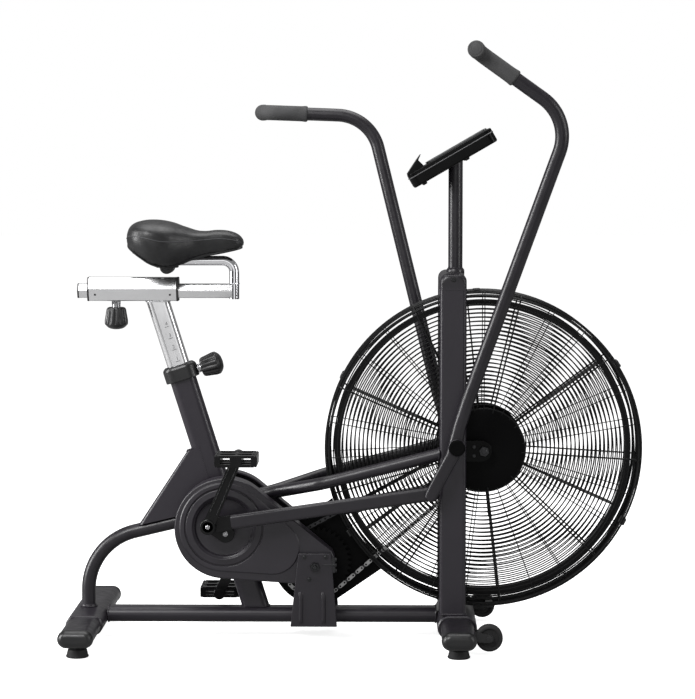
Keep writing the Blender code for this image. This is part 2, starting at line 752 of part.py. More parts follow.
def chain(name, first, second, plane):
    """A closed chain as one flat band round two sprockets."""
    outer = hull([(c, r + CHAIN_HALF) for c, r in (first, second)], 44)
    inner = hull([(c, r - CHAIN_HALF) for c, r in (first, second)], 44)
    low, high = band(plane, CHAIN_HALF)
    rings = [[at(p, low) for p in outer], [at(p, high) for p in outer],
             [at(p, high) for p in inner], [at(p, low) for p in inner]]
    solid(name, rings, "dark_steel", closed=True)


def jackshaft():
    """The shaft that carries the small driven and the large driving sprocket."""
    end, nut, shaft = 0.108, 0.0965, 0.0085
    pinion = PINION_RADIUS - SPROCKET_UNDERCUT
    wheel_rim = JACK_SPROCKET_RADIUS - SPROCKET_UNDERCUT
    pinion_low, pinion_high = band(PRIMARY_Y, SPROCKET_HALF)
    wheel_low, wheel_high = band(SECONDARY_Y, SPROCKET_HALF)
    profile = ((-end, 0.008), (-end + 0.002, 0.011), (-nut, 0.011), (-nut, shaft),
               (pinion_low, shaft), (pinion_low, pinion), (pinion_high, pinion),
               (pinion_high, shaft), (wheel_low, shaft), (wheel_low, wheel_rim),
               (wheel_high, wheel_rim), (wheel_high, 0.018), (wheel_high + 0.004, shaft),
               (nut, shaft), (nut, 0.011), (end - 0.002, 0.011), (end, 0.008))
    turned("jackshaft", profile, at(JACK), ACROSS, "dark_steel", at(JACK), steps=18)


def chainring():
    """The large sprocket on the crank axle, as a bored disc with a hub."""
    bore, rim = BEARING_BORE, CHAINRING_RADIUS - SPROCKET_UNDERCUT
    low, high = band(PRIMARY_Y, SPROCKET_HALF)
    profile = ((low, bore), (low, rim), (high, rim), (high, 0.024), (high + 0.011, 0.024),
               (high + 0.011, bore))
    turned("chainring", profile, at(CRANK), ACROSS, "dark_steel", at(CRANK), closed=True)


def cover_circles(inset=0.0):
    """The discs that a chain cover's outline is pulled round."""
    return [(centre, radius - inset) for centre, radius in COVER_DISCS]


def chain_cover(side):
    """A tray over the drive, open towards the frame, with holes for both shafts."""
    sign = SIDES[side]
    layers = ((COVER_OUTER - COVER_WALL, COVER_WALL), (COVER_INNER, COVER_WALL),
              (COVER_INNER, 0.0), (COVER_OUTER - 0.003, 0.0), (COVER_OUTER, 0.003))
    rings = [[at(p, sign * y) for p in hull(cover_circles(inset), 40)] for y, inset in layers]
    cover = solid(f"chain_cover_{side}", rings, "plastic")
    for label, centre, radius in (("crank", CRANK, 0.016), ("jack", JACK, 0.012)):
        hole = turned(f"{label}_hole_tool_{side}", ((0.080, radius), (0.092, radius)),
                      at(centre), ACROSS * sign, "plastic")
        combine(cover, hole, "DIFFERENCE")


def jack_bracket(side):
    """A plate that carries the jackshaft, on a foot that reaches in to the base tube."""
    sign = SIDES[side]
    plate = solid(f"jack_bracket_{side}",
                  outline_slab([*BRACKET_FOOT, *BRACKET_HEAD],
                               *layer(side, (BRACKET_INNER, BRACKET_OUTER))), "frame")
    (rear, bottom), (front, _) = BRACKET_FOOT
    rear, front, top = rear + 0.005, front - 0.005, bottom + BRACKET_FOOT_THICKNESS
    foot_outline = [(rear, bottom), (front, bottom), (front, top), (rear, top)]
    reach = (BASE_WIDTH / 2 + GAP, BRACKET_INNER + 0.002)
    foot = solid(f"bracket_foot_tool_{side}", outline_slab(foot_outline, *layer(side, reach)),
                 "frame")
    combine(plate, foot, "UNION")
    hole = turned(f"bracket_hole_tool_{side}", ((0.085, 0.0094), (0.100, 0.0094)), at(JACK),
                  ACROSS * sign, "frame", steps=18)
    combine(plate, hole, "DIFFERENCE")


def chain_guard():
    """The plate behind the second chain, from the jackshaft up to the fan guard."""
    radius = CHAIN_GUARD_RADIUS
    heading = atan2(FAN[1] - JACK[1], FAN[0] - JACK[0])
    outline = []
    for step in range(17):
        angle = heading + pi / 2 + pi * step / 16
        outline.append((JACK[0] + radius * cos(angle), JACK[1] + radius * sin(angle)))
    rim = GUARD_RADIUS + 0.002
    spread = atan2(radius, sqrt(rim ** 2 - radius ** 2))
    for step in range(9):
        angle = heading + pi + spread - 2 * spread * step / 8
        outline.append((FAN[0] + rim * cos(angle), FAN[1] + rim * sin(angle)))
    guard = solid("chain_guard", outline_slab(outline, *CHAIN_GUARD_Y), "plastic")
    hole = turned("guard_hole_tool", ((-0.03, 0.012), (0.0, 0.012)), at(JACK), ACROSS, "plastic")
    combine(guard, hole, "DIFFERENCE")


# ---------------------------------------------------------------- cranks and pedals

def bottom_bracket():
    """The crank axle and the cartridge bearing that it turns in."""
    end = INNER_CRANK_Y[0] - GAP
    turned("crank_axle", ((-end, AXLE_RADIUS), (end, AXLE_RADIUS)), at(CRANK), ACROSS,
           "dark_steel", at(CRANK))
    face, shoulder, shell, flange = 0.038, SHELL_HALF + GAP, SHELL_BORE - 0.001, 0.025
    profile = ((-face, BEARING_BORE), (-face, shell), (shoulder, shell), (shoulder, flange),
               (face, flange), (face, BEARING_BORE))
    turned("crank_bearing", profile, at(CRANK), ACROSS, "steel", closed=True)


def inner_crank(side):
    """The short crank on the axle, with the pin that the link turns on."""
    sign = SIDES[side]
    pin = crank_pin(side)
    outline = hull([(CRANK, 0.020), (pin, 0.016)], 32)
    plate = solid(f"inner_crank_{side}", outline_slab(outline, *layer(side, INNER_CRANK_Y)),
                  "dark_steel", at(CRANK))
    stub = ((INNER_CRANK_Y[1] - 0.004, PIN_RADIUS), (CRANK_ARM_Y[0] - GAP, PIN_RADIUS))
    tool = turned(f"pin_tool_{side}", stub, at(pin), ACROSS * sign, "dark_steel", steps=20)
    combine(plate, tool, "UNION")
    head = ((INNER_CRANK_Y[1] - 0.004, 0.010), (INNER_CRANK_Y[1] + 0.003, 0.010))
    tool = turned(f"head_tool_{side}", head, at(CRANK), ACROSS * sign, "dark_steel", steps=20)
    combine(plate, tool, "UNION")


def crank_arm(side):
    """The outer crank arm with the pedal's spindle and the bolt over the link pin."""
    sign = SIDES[side]
    pin, pedal = crank_pin(side), pedal_centre(side)
    outline = hull([(pin, 0.018), (pedal, 0.0135)], 32)
    arm = solid(f"crank_arm_{side}", outline_slab(outline, *layer(side, CRANK_ARM_Y)),
                "plastic", at(CRANK))
    spindle = ((CRANK_ARM_Y[1] - 0.004, SPINDLE_RADIUS), (PEDAL_Y[1] - 0.005, SPINDLE_RADIUS))
    combine(arm, turned(f"spindle_tool_{side}", spindle, at(pedal), ACROSS * sign, "steel",
                        steps=16), "UNION")
    bolt = ((CRANK_ARM_Y[1] - 0.004, 0.010), (0.157, 0.010))
    combine(arm, turned(f"bolt_tool_{side}", bolt, at(pin), ACROSS * sign, "steel", steps=16),
            "UNION")


def pedal(side):
    """A platform pedal, bored for its spindle."""
    sign = SIDES[side]
    centre = pedal_centre(side)
    profile = oval(*PEDAL_SIZE, 0.006, 2)
    inner, outer = PEDAL_Y
    rings = []
    for y, shrink in ((inner, 0.92), (inner + 0.004, 1), (outer - 0.004, 1), (outer, 0.92)):
        rings.append([at((centre[0] + u * shrink, centre[1] + v), sign * y) for u, v in profile])
    body = solid(f"pedal_{side}", rings, "plastic", at(centre, sign * (inner + outer) / 2))
    bore = ((inner - 0.01, SPINDLE_RADIUS + 0.0006), (outer - 0.0035, SPINDLE_RADIUS + 0.0006))
    combine(body, turned(f"pedal_bore_tool_{side}", bore, at(centre), ACROSS * sign, "plastic",
                         steps=16), "DIFFERENCE")


def link_rod(side):
    """The bar from the crank pin to the handle's lever, with an eye at its rear end."""
    pin, end = crank_pin(side), lever_end(side)
    outline = hull([(pin, 0.0165), (end, 0.0165)], 28)
    rod = solid(f"link_rod_{side}", outline_slab(outline, *layer(side, LINK_Y)), "frame",
                at(pin, SIDES[side] * LINK_Y[0]))
    eye = ((LINK_Y[0] - 0.01, PIN_RADIUS + 0.0005), (LINK_Y[1] + 0.01, PIN_RADIUS + 0.0005))
    combine(rod, turned(f"eye_tool_{side}", eye, at(pin), ACROSS * SIDES[side], "frame",
                        steps=20), "DIFFERENCE")


# ---------------------------------------------------------------- handles

def handle_line():
    """Unit pair along the grip, from the bend to its end."""
    dx, dz = HANDLE_END[0] - HANDLE_CORNER[0], HANDLE_END[1] - HANDLE_CORNER[1]
    length = hypot(dx, dz)
    return dx / length, dz / length


def back_from_end(distance):
    """A pair on the grip's line at a distance before the handle's end."""
    direction = handle_line()
    return (HANDLE_END[0] - direction[0] * distance, HANDLE_END[1] - direction[1] * distance)


def grip_path(side, start):
    """The handle's line from a point on its straight run to its tip, which turns outward."""
    elbow = handle_point(side, back_from_end(ELBOW_SETBACK), END_Y)
    along = (elbow - handle_point(side, HANDLE_CORNER, CORNER_Y)).normalized()
    outward = ACROSS * SIDES[side]
    tip = elbow + (along * cos(ELBOW_ANGLE) + outward * sin(ELBOW_ANGLE)) * TIP_LENGTH
    return rounded_path([elbow - along * start, elbow, tip], ELBOW_BEND, 5)


def shortened(path, distance):
    """The path with its last point moved back."""
    back = (path[-2] - path[-1]).normalized()
    return [*path[:-1], path[-1] + back * distance]


def handle(side):
    """The swinging arm: flattened lever below the hub, bent round tube above it."""
    sign = SIDES[side]
    lag = NEUTRAL_LAG

    def below(distance):
        return (-distance * sin(lag), -distance * cos(lag))

    lower = [handle_point(side, below(LEVER + 0.012), LEVER_Y),
             handle_point(side, below(LEVER - 0.020), LEVER_Y),
             handle_point(side, below(0.020), LEVER_Y + 0.005)]
    outer = shortened(grip_path(side, GRIP_LENGTH / 2), TUBE_SHORT_OF_TIP)
    upper = rounded_path([handle_point(side, HANDLE_FOOT, LEVER_Y + 0.009),
                          handle_point(side, HANDLE_CORNER, CORNER_Y), outer[0]],
                         HANDLE_BEND, 6) + outer[1:]
    flat = oval(0.0158, 0.027, 0.0078, 3)
    middle = oval(0.022, 0.030, 0.0108, 3)
    profiles = [flat, flat, middle] + [circle(HANDLE_RADIUS)] * len(upper)
    arm = solid(f"handle_{side}", sweep_rings(lower + upper, profiles), "frame",
                at(HANDLE_PIVOT, sign * HUB_Y[0]))
    hub = ((HUB_Y[0], HUB_RADIUS), (HUB_Y[1], HUB_RADIUS))
    combine(arm, turned(f"hub_tool_{side}", hub, at(HANDLE_PIVOT), ACROSS * sign, "frame"),
            "UNION")
    clear = PIN_RADIUS + 0.0004
    bore = ((HUB_Y[0] - 0.02, clear), (HUB_Y[1] + 0.02, clear))
    combine(arm, turned(f"hub_bore_tool_{side}", bore, at(HANDLE_PIVOT), ACROSS * sign, "frame",
                        steps=20), "DIFFERENCE")


def grip(side):
    """A rubber sleeve closed over the handle's outward-turned end."""
    path = grip_path(side, GRIP_LENGTH - ELBOW_SETBACK)
    bore = shortened(path, TUBE_SHORT_OF_TIP - 0.0006)
    inner = sweep_rings(bore, [circle(HANDLE_RADIUS + 0.0005, 20)] * len(bore))
    outer = sweep_rings(path, [circle(GRIP_RADIUS, 20)] * len(path))
    onward = (path[-1] - path[-2]).normalized()
    centre = path[-1]
    dome = []
    for rise, radius in ((0.004, GRIP_RADIUS - 0.004), (0.006, GRIP_RADIUS - 0.010)):
        scale = radius / GRIP_RADIUS
        dome.append([centre + (point - centre) * scale + onward * rise for point in outer[-1]])
    solid(f"grip_{side}", list(reversed(inner)) + outer + dome, "rubber",
          at(HANDLE_PIVOT, SIDES[side] * HUB_Y[0]))


def handle_axle(side):
    """The fixed pivot on the upright, with the cap that covers the handle's hub."""
    start = UPRIGHT_Y + UPRIGHT_SIZE[1] / 2 + GAP
    profile = ((start, 0.018), (HUB_Y[0] - 0.0006, 0.018), (HUB_Y[0] - 0.0006, PIN_RADIUS),
               (HUB_Y[1] + 0.0006, PIN_RADIUS), (HUB_Y[1] + 0.0006, 0.0172),
               (HUB_Y[1] + 0.006, 0.0172), (HUB_Y[1] + 0.008, 0.014))
    turned(f"handle_axle_{side}", profile, at(HANDLE_PIVOT), ACROSS * SIDES[side], "plastic")


# ---------------------------------------------------------------- seat

def seat_post():
    top = Vector((0, 0, SLIDE_CENTRE_Z - SLIDE_SIZE[1] / 2 - GAP))
    rings = [seat_ring(POST_SIZE, POST_FOOT),
             trimmed(seat_ring(POST_SIZE, 0.1), SEAT_UP, top, Vector((0, 0, 1)))]
    solid("seat_post", rings, "steel", on_seat_axis(0))


def seat_collar():
    """A plastic sleeve on the seat tube's mouth, bored for the post's locking pin."""
    foot = SEAT_TUBE_END + GAP
    hole = (POST_SIZE[0] + 0.0015, POST_SIZE[1] + 0.0015)
    sizes = (((0.052, 0.078), foot), ((0.052, 0.078), COLLAR_TOP - 0.008),
             ((0.042, 0.066), COLLAR_TOP), (hole, COLLAR_TOP), (hole, foot))
    rings = [seat_ring(size, distance) for size, distance in sizes]
    collar = solid("seat_collar", rings, "plastic", closed=True)
    reach = ((0.015, KNOB_HOLE_RADIUS), (0.060, KNOB_HOLE_RADIUS))
    bore = turned("pin_hole_tool", reach, on_seat_axis(KNOB_RISE), SEAT_FORWARD, "plastic",
                  steps=12)
    combine(collar, bore, "DIFFERENCE")


def knob_profile(face, neck, pin_tip):
    """A domed pull knob on a spring housing, whose pin reaches back to pin_tip."""
    foot = face + neck
    tip = foot + KNOB_LENGTH
    return ((pin_tip, 0.005), (face, 0.005), (face, 0.0095), (foot, 0.0095),
            (foot, 0.0205), (foot + 0.005, 0.0225), (tip - 0.020, KNOB_RADIUS),
            (tip - 0.010, KNOB_RADIUS - 0.002), (tip - 0.003, 0.018), (tip, 0.010))


def knobs():
    origin = on_seat_axis(KNOB_RISE)
    pin_tip = POST_SIZE[1] / 2 + 0.0012
    turned("post_knob", knob_profile(POST_KNOB_FACE, POST_KNOB_NECK, pin_tip), origin,
           SEAT_FORWARD, "plastic", origin, steps=20)
    origin = at((SLIDE_KNOB_X, SLIDE_CENTRE_Z))
    face = SLIDE_SIZE[1] / 2 + GAP
    pin_tip = SLIDE_CENTRE_Z - INNER_SLIDE_Z + INNER_SLIDE_SIZE[1] / 2 + 0.0012
    turned("slide_knob", knob_profile(face, SLIDE_KNOB_NECK, pin_tip), origin,
           Vector((0, 0, -1)), "plastic", origin, steps=20)


def hexagon(size, clearance=0.0):
    """The slide's faceted section: flat top and bottom, a ridge along each side."""
    half_width, half_height = size[0] / 2 + clearance, size[1] / 2 + clearance
    flat = half_width * 0.62
    return [(half_width, 0), (flat, half_height), (-flat, half_height),
            (-half_width, 0), (-flat, -half_height), (flat, -half_height)]


def slide_rings(size, z, ends, clearance=0.0):
    """Hexagonal rings at both ends of a slide tube."""
    profile = hexagon(size, clearance)
    return [[Vector((x, u, z + v)) for u, v in profile] for x in ends]


def seat_slide():
    outer = slide_rings(SLIDE_SIZE, SLIDE_CENTRE_Z, SLIDE_X)
    inner = slide_rings(INNER_SLIDE_SIZE, INNER_SLIDE_Z, reversed(SLIDE_X), 0.0007)
    tube = solid("slide_outer", outer + inner, "steel", on_seat_axis(0), closed=True)
    reach = ((0.005, KNOB_HOLE_RADIUS), (0.035, KNOB_HOLE_RADIUS))
    bore = turned("slide_pin_hole_tool", reach, at((SLIDE_KNOB_X, SLIDE_CENTRE_Z)),
                  Vector((0, 0, -1)), "steel", steps=12)
    combine(tube, bore, "DIFFERENCE")


def saddle_slide():
    """The sliding tube with the bent round bar welded to its front end."""
    rings = slide_rings(INNER_SLIDE_SIZE, INNER_SLIDE_Z, (INNER_SLIDE_REAR, BAR_X - 0.004))
    tube = solid("saddle_slide", rings, "steel", at((BAR_X, INNER_SLIDE_Z)))
    bar_foot = INNER_SLIDE_Z - INNER_SLIDE_SIZE[1] / 2 - 0.0025
    bar_end = CLAMP[0] + CLAMP_BLOCK[0] / 2 + GAP
    path = rounded_path([at((BAR_X, bar_foot)), at((BAR_X, BAR_Z)), at((bar_end, BAR_Z))],
                        BAR_BEND, 6)
    bar = solid("bar_tool", sweep_rings(path, [circle(BAR_RADIUS)] * len(path)), "chrome")
    combine(tube, bar, "UNION")


def saddle_clamp():
    """A block behind the bar's end on a cross barrel with its clamp bolt."""
    half, foot, top = CLAMP_BLOCK[0] / 2, CLAMP_BLOCK_FOOT, CLAMP_BLOCK_FOOT + CLAMP_BLOCK[1]
    rear, front = CLAMP[0] - half, CLAMP[0] + half
    outline = [(rear, foot), (front, foot), (front, top), (rear, top)]
    block = solid("saddle_clamp", outline_slab(outline, -0.015, 0.015), "dark_steel", at(CLAMP))
    barrel = turned("barrel_tool", ((-0.032, 0.0155), (0.032, 0.0155)), at(CLAMP), ACROSS,
                    "dark_steel")
    combine(block, barrel, "UNION")


SADDLE_STATIONS = (
    # x, half width, crown z, hem z
    (-0.5095, 0.030, 0.910, 0.893),
    (-0.5040, 0.066, 0.926, 0.878),
    (-0.4880, 0.090, 0.940, 0.860),
    (-0.4585, 0.102, 0.945, 0.840),
    (-0.4200, 0.096, 0.941, 0.838),
    (-0.3850, 0.072, 0.930, 0.847),
    (-0.3450, 0.050, 0.919, 0.861),
    (-0.3000, 0.040, 0.921, 0.869),
    (-0.2620, 0.032, 0.911, 0.877),
    (-0.2490, 0.018, 0.897, 0.883),
)


def saddle():
    """A padded seat as an arch-shaped loft: crowned above, hollow below."""
    rings = []
    for x, half, crown, hem in SADDLE_STATIONS:
        waist = hem + (crown - hem) * 0.55
        recess = max(SADDLE_RECESS_Z, hem + 0.002)
        inner = max(half - 0.022, half * 0.3)
        points = [(-half * 0.86, hem), (-half, waist)]
        for step in range(1, 8):
            angle = pi - pi * step / 8
            points.append((half * cos(angle), waist + (crown - waist) * sin(angle)))
        points += [(half, waist), (half * 0.86, hem), (inner * 0.9, hem),
                   (inner * 0.8, recess), (-inner * 0.8, recess), (-inner * 0.9, hem)]
        rings.append([Vector((x, y, z)) for y, z in points])
    solid("saddle", rings, "leather", at(CLAMP))


# ---------------------------------------------------------------- whole bike

def build_base():
    base_tube()
    cross_tube("rear_stabilizer", REAR_TUBE, REAR_TUBE_SIZE, REAR_SLEEVE)
    front = cross_tube("front_stabilizer", FRONT_TUBE, FRONT_TUBE_SIZE, FRONT_SLEEVE)
    add_wheel_brackets(front)
    for end in STABILIZERS:
        for side in SIDES:
            end_cap(end, side)
            foot(end, side)


def build_frame():
    rear_arch()
    seat_tube()
    upright_bridge()
    console_mast()
    console()


def build_drive():
    bottom_bracket()
    chainring()
    jackshaft()
    chain("primary_chain", (CRANK, CHAINRING_RADIUS), (JACK, PINION_RADIUS), PRIMARY_Y)
    chain("secondary_chain", (JACK, JACK_SPROCKET_RADIUS), (FAN, FAN_SPROCKET_RADIUS),
          SECONDARY_Y)
    chain_guard()
    fan_wheel()
    fan_axle()


def build_seat():
    seat_post()
    seat_collar()
    knobs()
    seat_slide()
    saddle_slide()
    saddle_clamp()
    saddle()


def build_side(side):
    for piece in (wheel, side_tube, upright, fan_guard, chain_cover, jack_bracket, inner_crank,
                  crank_arm, pedal, link_rod, handle, grip, handle_axle):
        piece(side)


def build():
    clear_scene()
    build_base()
    build_frame()
    build_drive()
    build_seat()
    for side in SIDES:
        build_side(side)


build()
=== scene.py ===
"""Looks of the air bike: fine surfaces, wires, chains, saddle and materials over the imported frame.

Metres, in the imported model's frame: +X forward, +Y the rider's left, +Z up. Points written as
pairs are (x, z) in the bike's side plane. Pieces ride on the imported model's bodies.
"""
from math import acos, atan2, cos, hypot, pi, radians, sin, sqrt, tan

import bmesh
import bpy
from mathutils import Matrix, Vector


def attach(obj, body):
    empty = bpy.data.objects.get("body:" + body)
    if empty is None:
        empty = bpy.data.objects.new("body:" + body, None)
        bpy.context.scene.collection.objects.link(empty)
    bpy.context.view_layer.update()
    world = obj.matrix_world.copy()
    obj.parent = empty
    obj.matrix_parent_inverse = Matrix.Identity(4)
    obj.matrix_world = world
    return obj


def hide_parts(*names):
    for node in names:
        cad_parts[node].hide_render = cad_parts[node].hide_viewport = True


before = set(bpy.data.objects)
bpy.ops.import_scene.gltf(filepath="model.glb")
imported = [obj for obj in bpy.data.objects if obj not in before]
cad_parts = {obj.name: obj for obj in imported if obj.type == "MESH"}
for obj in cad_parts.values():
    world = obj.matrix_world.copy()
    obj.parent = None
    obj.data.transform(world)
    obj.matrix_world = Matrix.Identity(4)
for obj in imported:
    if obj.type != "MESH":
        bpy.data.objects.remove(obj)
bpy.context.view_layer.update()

SIDES = {"right": -1, "left": 1}
ACROSS = Vector((0, 1, 0))
UP = Vector((0, 0, 1))
AHEAD = Vector((1, 0, 0))

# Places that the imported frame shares
BASE_Z = 0.052
REAR_TUBE = (-0.6005, 0.0455)
REAR_SIZE = (0.076, 0.037)
FRONT_TUBE = (0.228, 0.043)
FRONT_SIZE = (0.074, 0.038)
TUBE_END = 0.272
CAP_END = 0.292
SLEEVE_HALF = 0.125
FOOT_Y = 0.24
WHEEL = (0.2955, 0.037)
WHEEL_Y = 0.2
WHEEL_RADIUS = 0.0295
SEAT_TILT = radians(17.5)
SEAT_TOP = (-0.39, 0.593)
UPRIGHT_X = 0.2175
UPRIGHT_Y = 0.097
UPRIGHT_SIZE = (0.059, 0.03)
UPRIGHT_TOP = 0.79
BRIDGE_TOP = 0.828
MAST_X = 0.2245
CONSOLE_CENTRE = (0.2152, 1.081)
CONSOLE_TILT = radians(30)
FAN = (0.287, 0.433)
GUARD_HALF = 0.068
CRANK = (-0.286, 0.25)
JACK = (-0.088, 0.174)
HANDLE_PIVOT = (0.225, 0.449)
LEVER = 0.12
LINK = 0.4972
ECCENTRIC = 0.042
ECCENTRIC_ANGLE = radians(150)
PEDAL_RADIUS = 0.182
PEDAL_LEAD = radians(10)
SLIDE_Z = 0.788
SLIDE_X = (-0.6, -0.396)
INNER_SLIDE_Z = 0.784
BAR_X = -0.2712
BAR_Z = 0.8516
CLAMP = (-0.421, 0.838)
GAP = 0.0004
SEAT_TUBE_SIZE = (0.037, 0.06)
SEAT_LINER_SIZE = (0.031, 0.054)
POST_FACE_Y = 0.0141
KNOB_LENGTH = 0.05
LINK_Y = 0.124

# Pitch radii and planes of the two chains
CHAIN_PITCH = 0.0127
RING_RADIUS = 0.097
JACK_FIRST_RADIUS = 0.0325
JACK_SECOND_RADIUS = 0.077
FAN_SPROCKET_RADIUS = 0.0284
FIRST_CHAIN_Y = -0.062
SECOND_CHAIN_Y = -0.03


# ---------------------------------------------------------------- shape tools

def at(pair, y=0.0):
    """A side-plane pair as a point at the given y."""
    return Vector((pair[0], y, pair[1]))


def around(centre, radius, angle):
    """The pair at a radius and an angle round a centre pair."""
    return centre[0] + radius * cos(angle), centre[1] + radius * sin(angle)


def spoke(angle):
    """The unit direction at an angle in the side plane."""
    return Vector((cos(angle), 0, sin(angle)))


def arc(steps, start=0.0, sweep=pi / 2):
    """Evenly spaced angles with both ends included; a quarter turn by default."""
    return [start + sweep * k / steps for k in range(steps + 1)]


def rounding(depth, inset, steps):
    """How a rounded rim runs in, as (distance from its end, inset) pairs."""
    return [(depth * (1 - cos(a)), inset * (1 - sin(a))) for a in arc(steps)]


def both_ways(profile):
    """A profile given from its low end inwards, completed by its mirror image."""
    return [*profile, *((-along, across) for along, across in reversed(profile))]


def loft(bm, rings, closed=False):
    """Skin equal rings of points, capped unless the last joins the first."""
    rows = [[bm.verts.new(point) for point in ring] for ring in rings]
    count = len(rows[0])
    pairs = list(zip(rows, rows[1:]))
    if closed:
        pairs.append((rows[-1], rows[0]))
    for lower, upper in pairs:
        for i in range(count):
            j = (i + 1) % count
            bm.faces.new((lower[i], lower[j], upper[j], upper[i]))
    if not closed:
        bm.faces.new(list(reversed(rows[0])))
        bm.faces.new(rows[-1])


def oval(width, height, radius=None, steps=8):
    """A rectangle with rounded corners as (u, v) pairs; a flat oval by default."""
    radius = min(width, height) / 2 - 1e-5 if radius is None else radius
    points = []
    for turn in range(4):
        right = 1 if turn in (0, 3) else -1
        top = 1 if turn in (0, 1) else -1
        corner = (right * (width / 2 - radius), top * (height / 2 - radius))
        points += [around(corner, radius, angle) for angle in arc(steps, pi / 2 * turn)]
    return points


def circle(radius, steps=32):
    """A circle as (u, v) pairs."""
    return [around((0, 0), radius, 2 * pi * i / steps) for i in range(steps)]


def placed(profile, centre, side, up):
    """A profile's pairs as points about centre, u along side and v along up."""
    return [centre + side * u + up * v for u, v in profile]


def rounded_path(points, radius, steps=10):
    """A polyline whose inner corners are replaced by arcs."""
    path = [points[0]]
    for before, corner, after in zip(points, points[1:], points[2:]):
        back = (before - corner).normalized()
        ahead = (after - corner).normalized()
        half = acos(max(-1.0, min(1.0, back.dot(ahead)))) / 2
        centre = corner + (back + ahead).normalized() * (radius / sin(half))
        first = (corner + back * (radius / tan(half)) - centre).normalized()
        last = (corner + ahead * (radius / tan(half)) - centre).normalized()
        for step in range(steps + 1):
            path.append(centre + first.slerp(last, step / steps) * radius)
    path.append(points[-1])
    return path


def sweep_rings(path, profiles, side=ACROSS):
    """Rings of the profiles along a path, kept square to it."""
    rings = []
    for i, point in enumerate(path):
        ahead = path[min(i + 1, len(path) - 1)]
        behind = path[max(i - 1, 0)]
        along = (ahead - point).normalized() + (point - behind).normalized()
        along.normalize()
        level = (side - along * side.dot(along)).normalized()
        rings.append(placed(profiles[i], point, level, along.cross(level)))
    return rings


def tube(bm, path, radius, steps=12, side=ACROSS):
    """A round bar along a path."""
    loft(bm, sweep_rings(path, [circle(radius, steps)] * len(path), side))


def turned(bm, profile, centre, axis, steps=40, closed=False):
    """A turned shape; the profile is (distance along axis, radius) pairs."""
    axis = axis.normalized()
    side = axis.orthogonal().normalized()
    up = axis.cross(side)
    rings = [placed(circle(max(radius, 1e-4), steps), centre + axis * distance, side, up)
             for distance, radius in profile]
    loft(bm, rings, closed)


def hoop(bm, centre, radius, wire, y, steps=120, sides=6):
    """A wire ring about the y axis."""
    rings = []
    for step in range(steps):
        out = spoke(2 * pi * step / steps)
        rings.append(placed(circle(wire, sides), at(centre, y) + out * radius, out, ACROSS))
    loft(bm, rings, closed=True)


def slab(bm, outline, y_low, y_high, soft=0.0):
    """A plate of a side-plane outline; soft rounds its two rims."""
    centre = (sum(p[0] for p in outline) / len(outline), sum(p[1] for p in outline) / len(outline))

    def ring(y, inset):
        points = []
        for x, z in outline:
            reach = hypot(x - centre[0], z - centre[1])
            scale = (reach - inset) / reach
            points.append(at((centre[0] + (x - centre[0]) * scale,
                              centre[1] + (z - centre[1]) * scale), y))
        return points

    rim = rounding(soft, soft, 4) if soft else [(0, 0)]
    loft(bm, [ring(y_low + rise, inset) for rise, inset in rim]
         + [ring(y_high - rise, inset) for rise, inset in reversed(rim)])


def box(bm, centre, size, along=AHEAD, up=UP):
    """A block by its centre, its size along, across and up, and its directions."""
    across = up.cross(along)
    rings = []
    for end in (-0.5, 0.5):
        middle = centre + along * (size[0] * end)
        rings.append([middle + across * (size[1] / 2 * u) + up * (size[2] / 2 * v)
                      for u, v in ((-1, -1), (1, -1), (1, 1), (-1, 1))])
    loft(bm, rings)


def hull(circles, steps=96):
    """The outline of a belt pulled round circles given as (centre, radius)."""
    points = []
    for step in range(steps):
        angle = 2 * pi * (step + 0.5) / steps
        reach = [c[0] * cos(angle) + c[1] * sin(angle) + r for c, r in circles]
        points.append(around(*circles[reach.index(max(reach))], angle))
    return points


def distance_to(outline, centre, angle):
    """How far a ray from centre runs before it crosses a convex outline."""
    direction = (cos(angle), sin(angle))
    best = 0.0
    for a, b in zip(outline, outline[1:] + outline[:1]):
        ex, ez = b[0] - a[0], b[1] - a[1]
        cross = direction[0] * ez - direction[1] * ex
        if abs(cross) < 1e-12:
            continue
        ax, az = a[0] - centre[0], a[1] - centre[1]
        along = (ax * ez - az * ex) / cross
        share = (ax * direction[1] - az * direction[0]) / cross
        if along > 0 and -1e-9 <= share <= 1 + 1e-9:
            best = max(best, along)
    return best


def layer(side, low, high):
    """A layer given for the left side, on the named side, lowest y first."""
    return sorted((SIDES[side] * low, SIDES[side] * high))


def piece(name, bm, surface, body, replaces=(), bevel=0.0, sharp=40,
          flat=True):
    """Finish a bmesh as a piece on a body; flat keeps its wide faces shaded as planes."""
    bmesh.ops.recalc_face_normals(bm, faces=bm.faces)
    mesh = bpy.data.meshes.new(name)
    bm.to_mesh(mesh)
    bm.free()
    mesh.materials.append(surface)
    mesh.shade_smooth()
    mesh.set_sharp_from_angle(angle=radians(sharp))
    obj = bpy.data.objects.new(name, mesh)
    bpy.context.scene.collection.objects.link(obj)
    if bevel:
        modifier = obj.modifiers.new("edges", "BEVEL")
        modifier.width = bevel
        modifier.segments = 3
        modifier.limit_method = "ANGLE"
        modifier.angle_limit = radians(35)
    if flat:
        normals = obj.modifiers.new("normals", "WEIGHTED_NORMAL")
        normals.keep_sharp = True
    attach(obj, body)
    if replaces:
        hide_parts(*replaces)
    return obj


# ---------------------------------------------------------------- materials

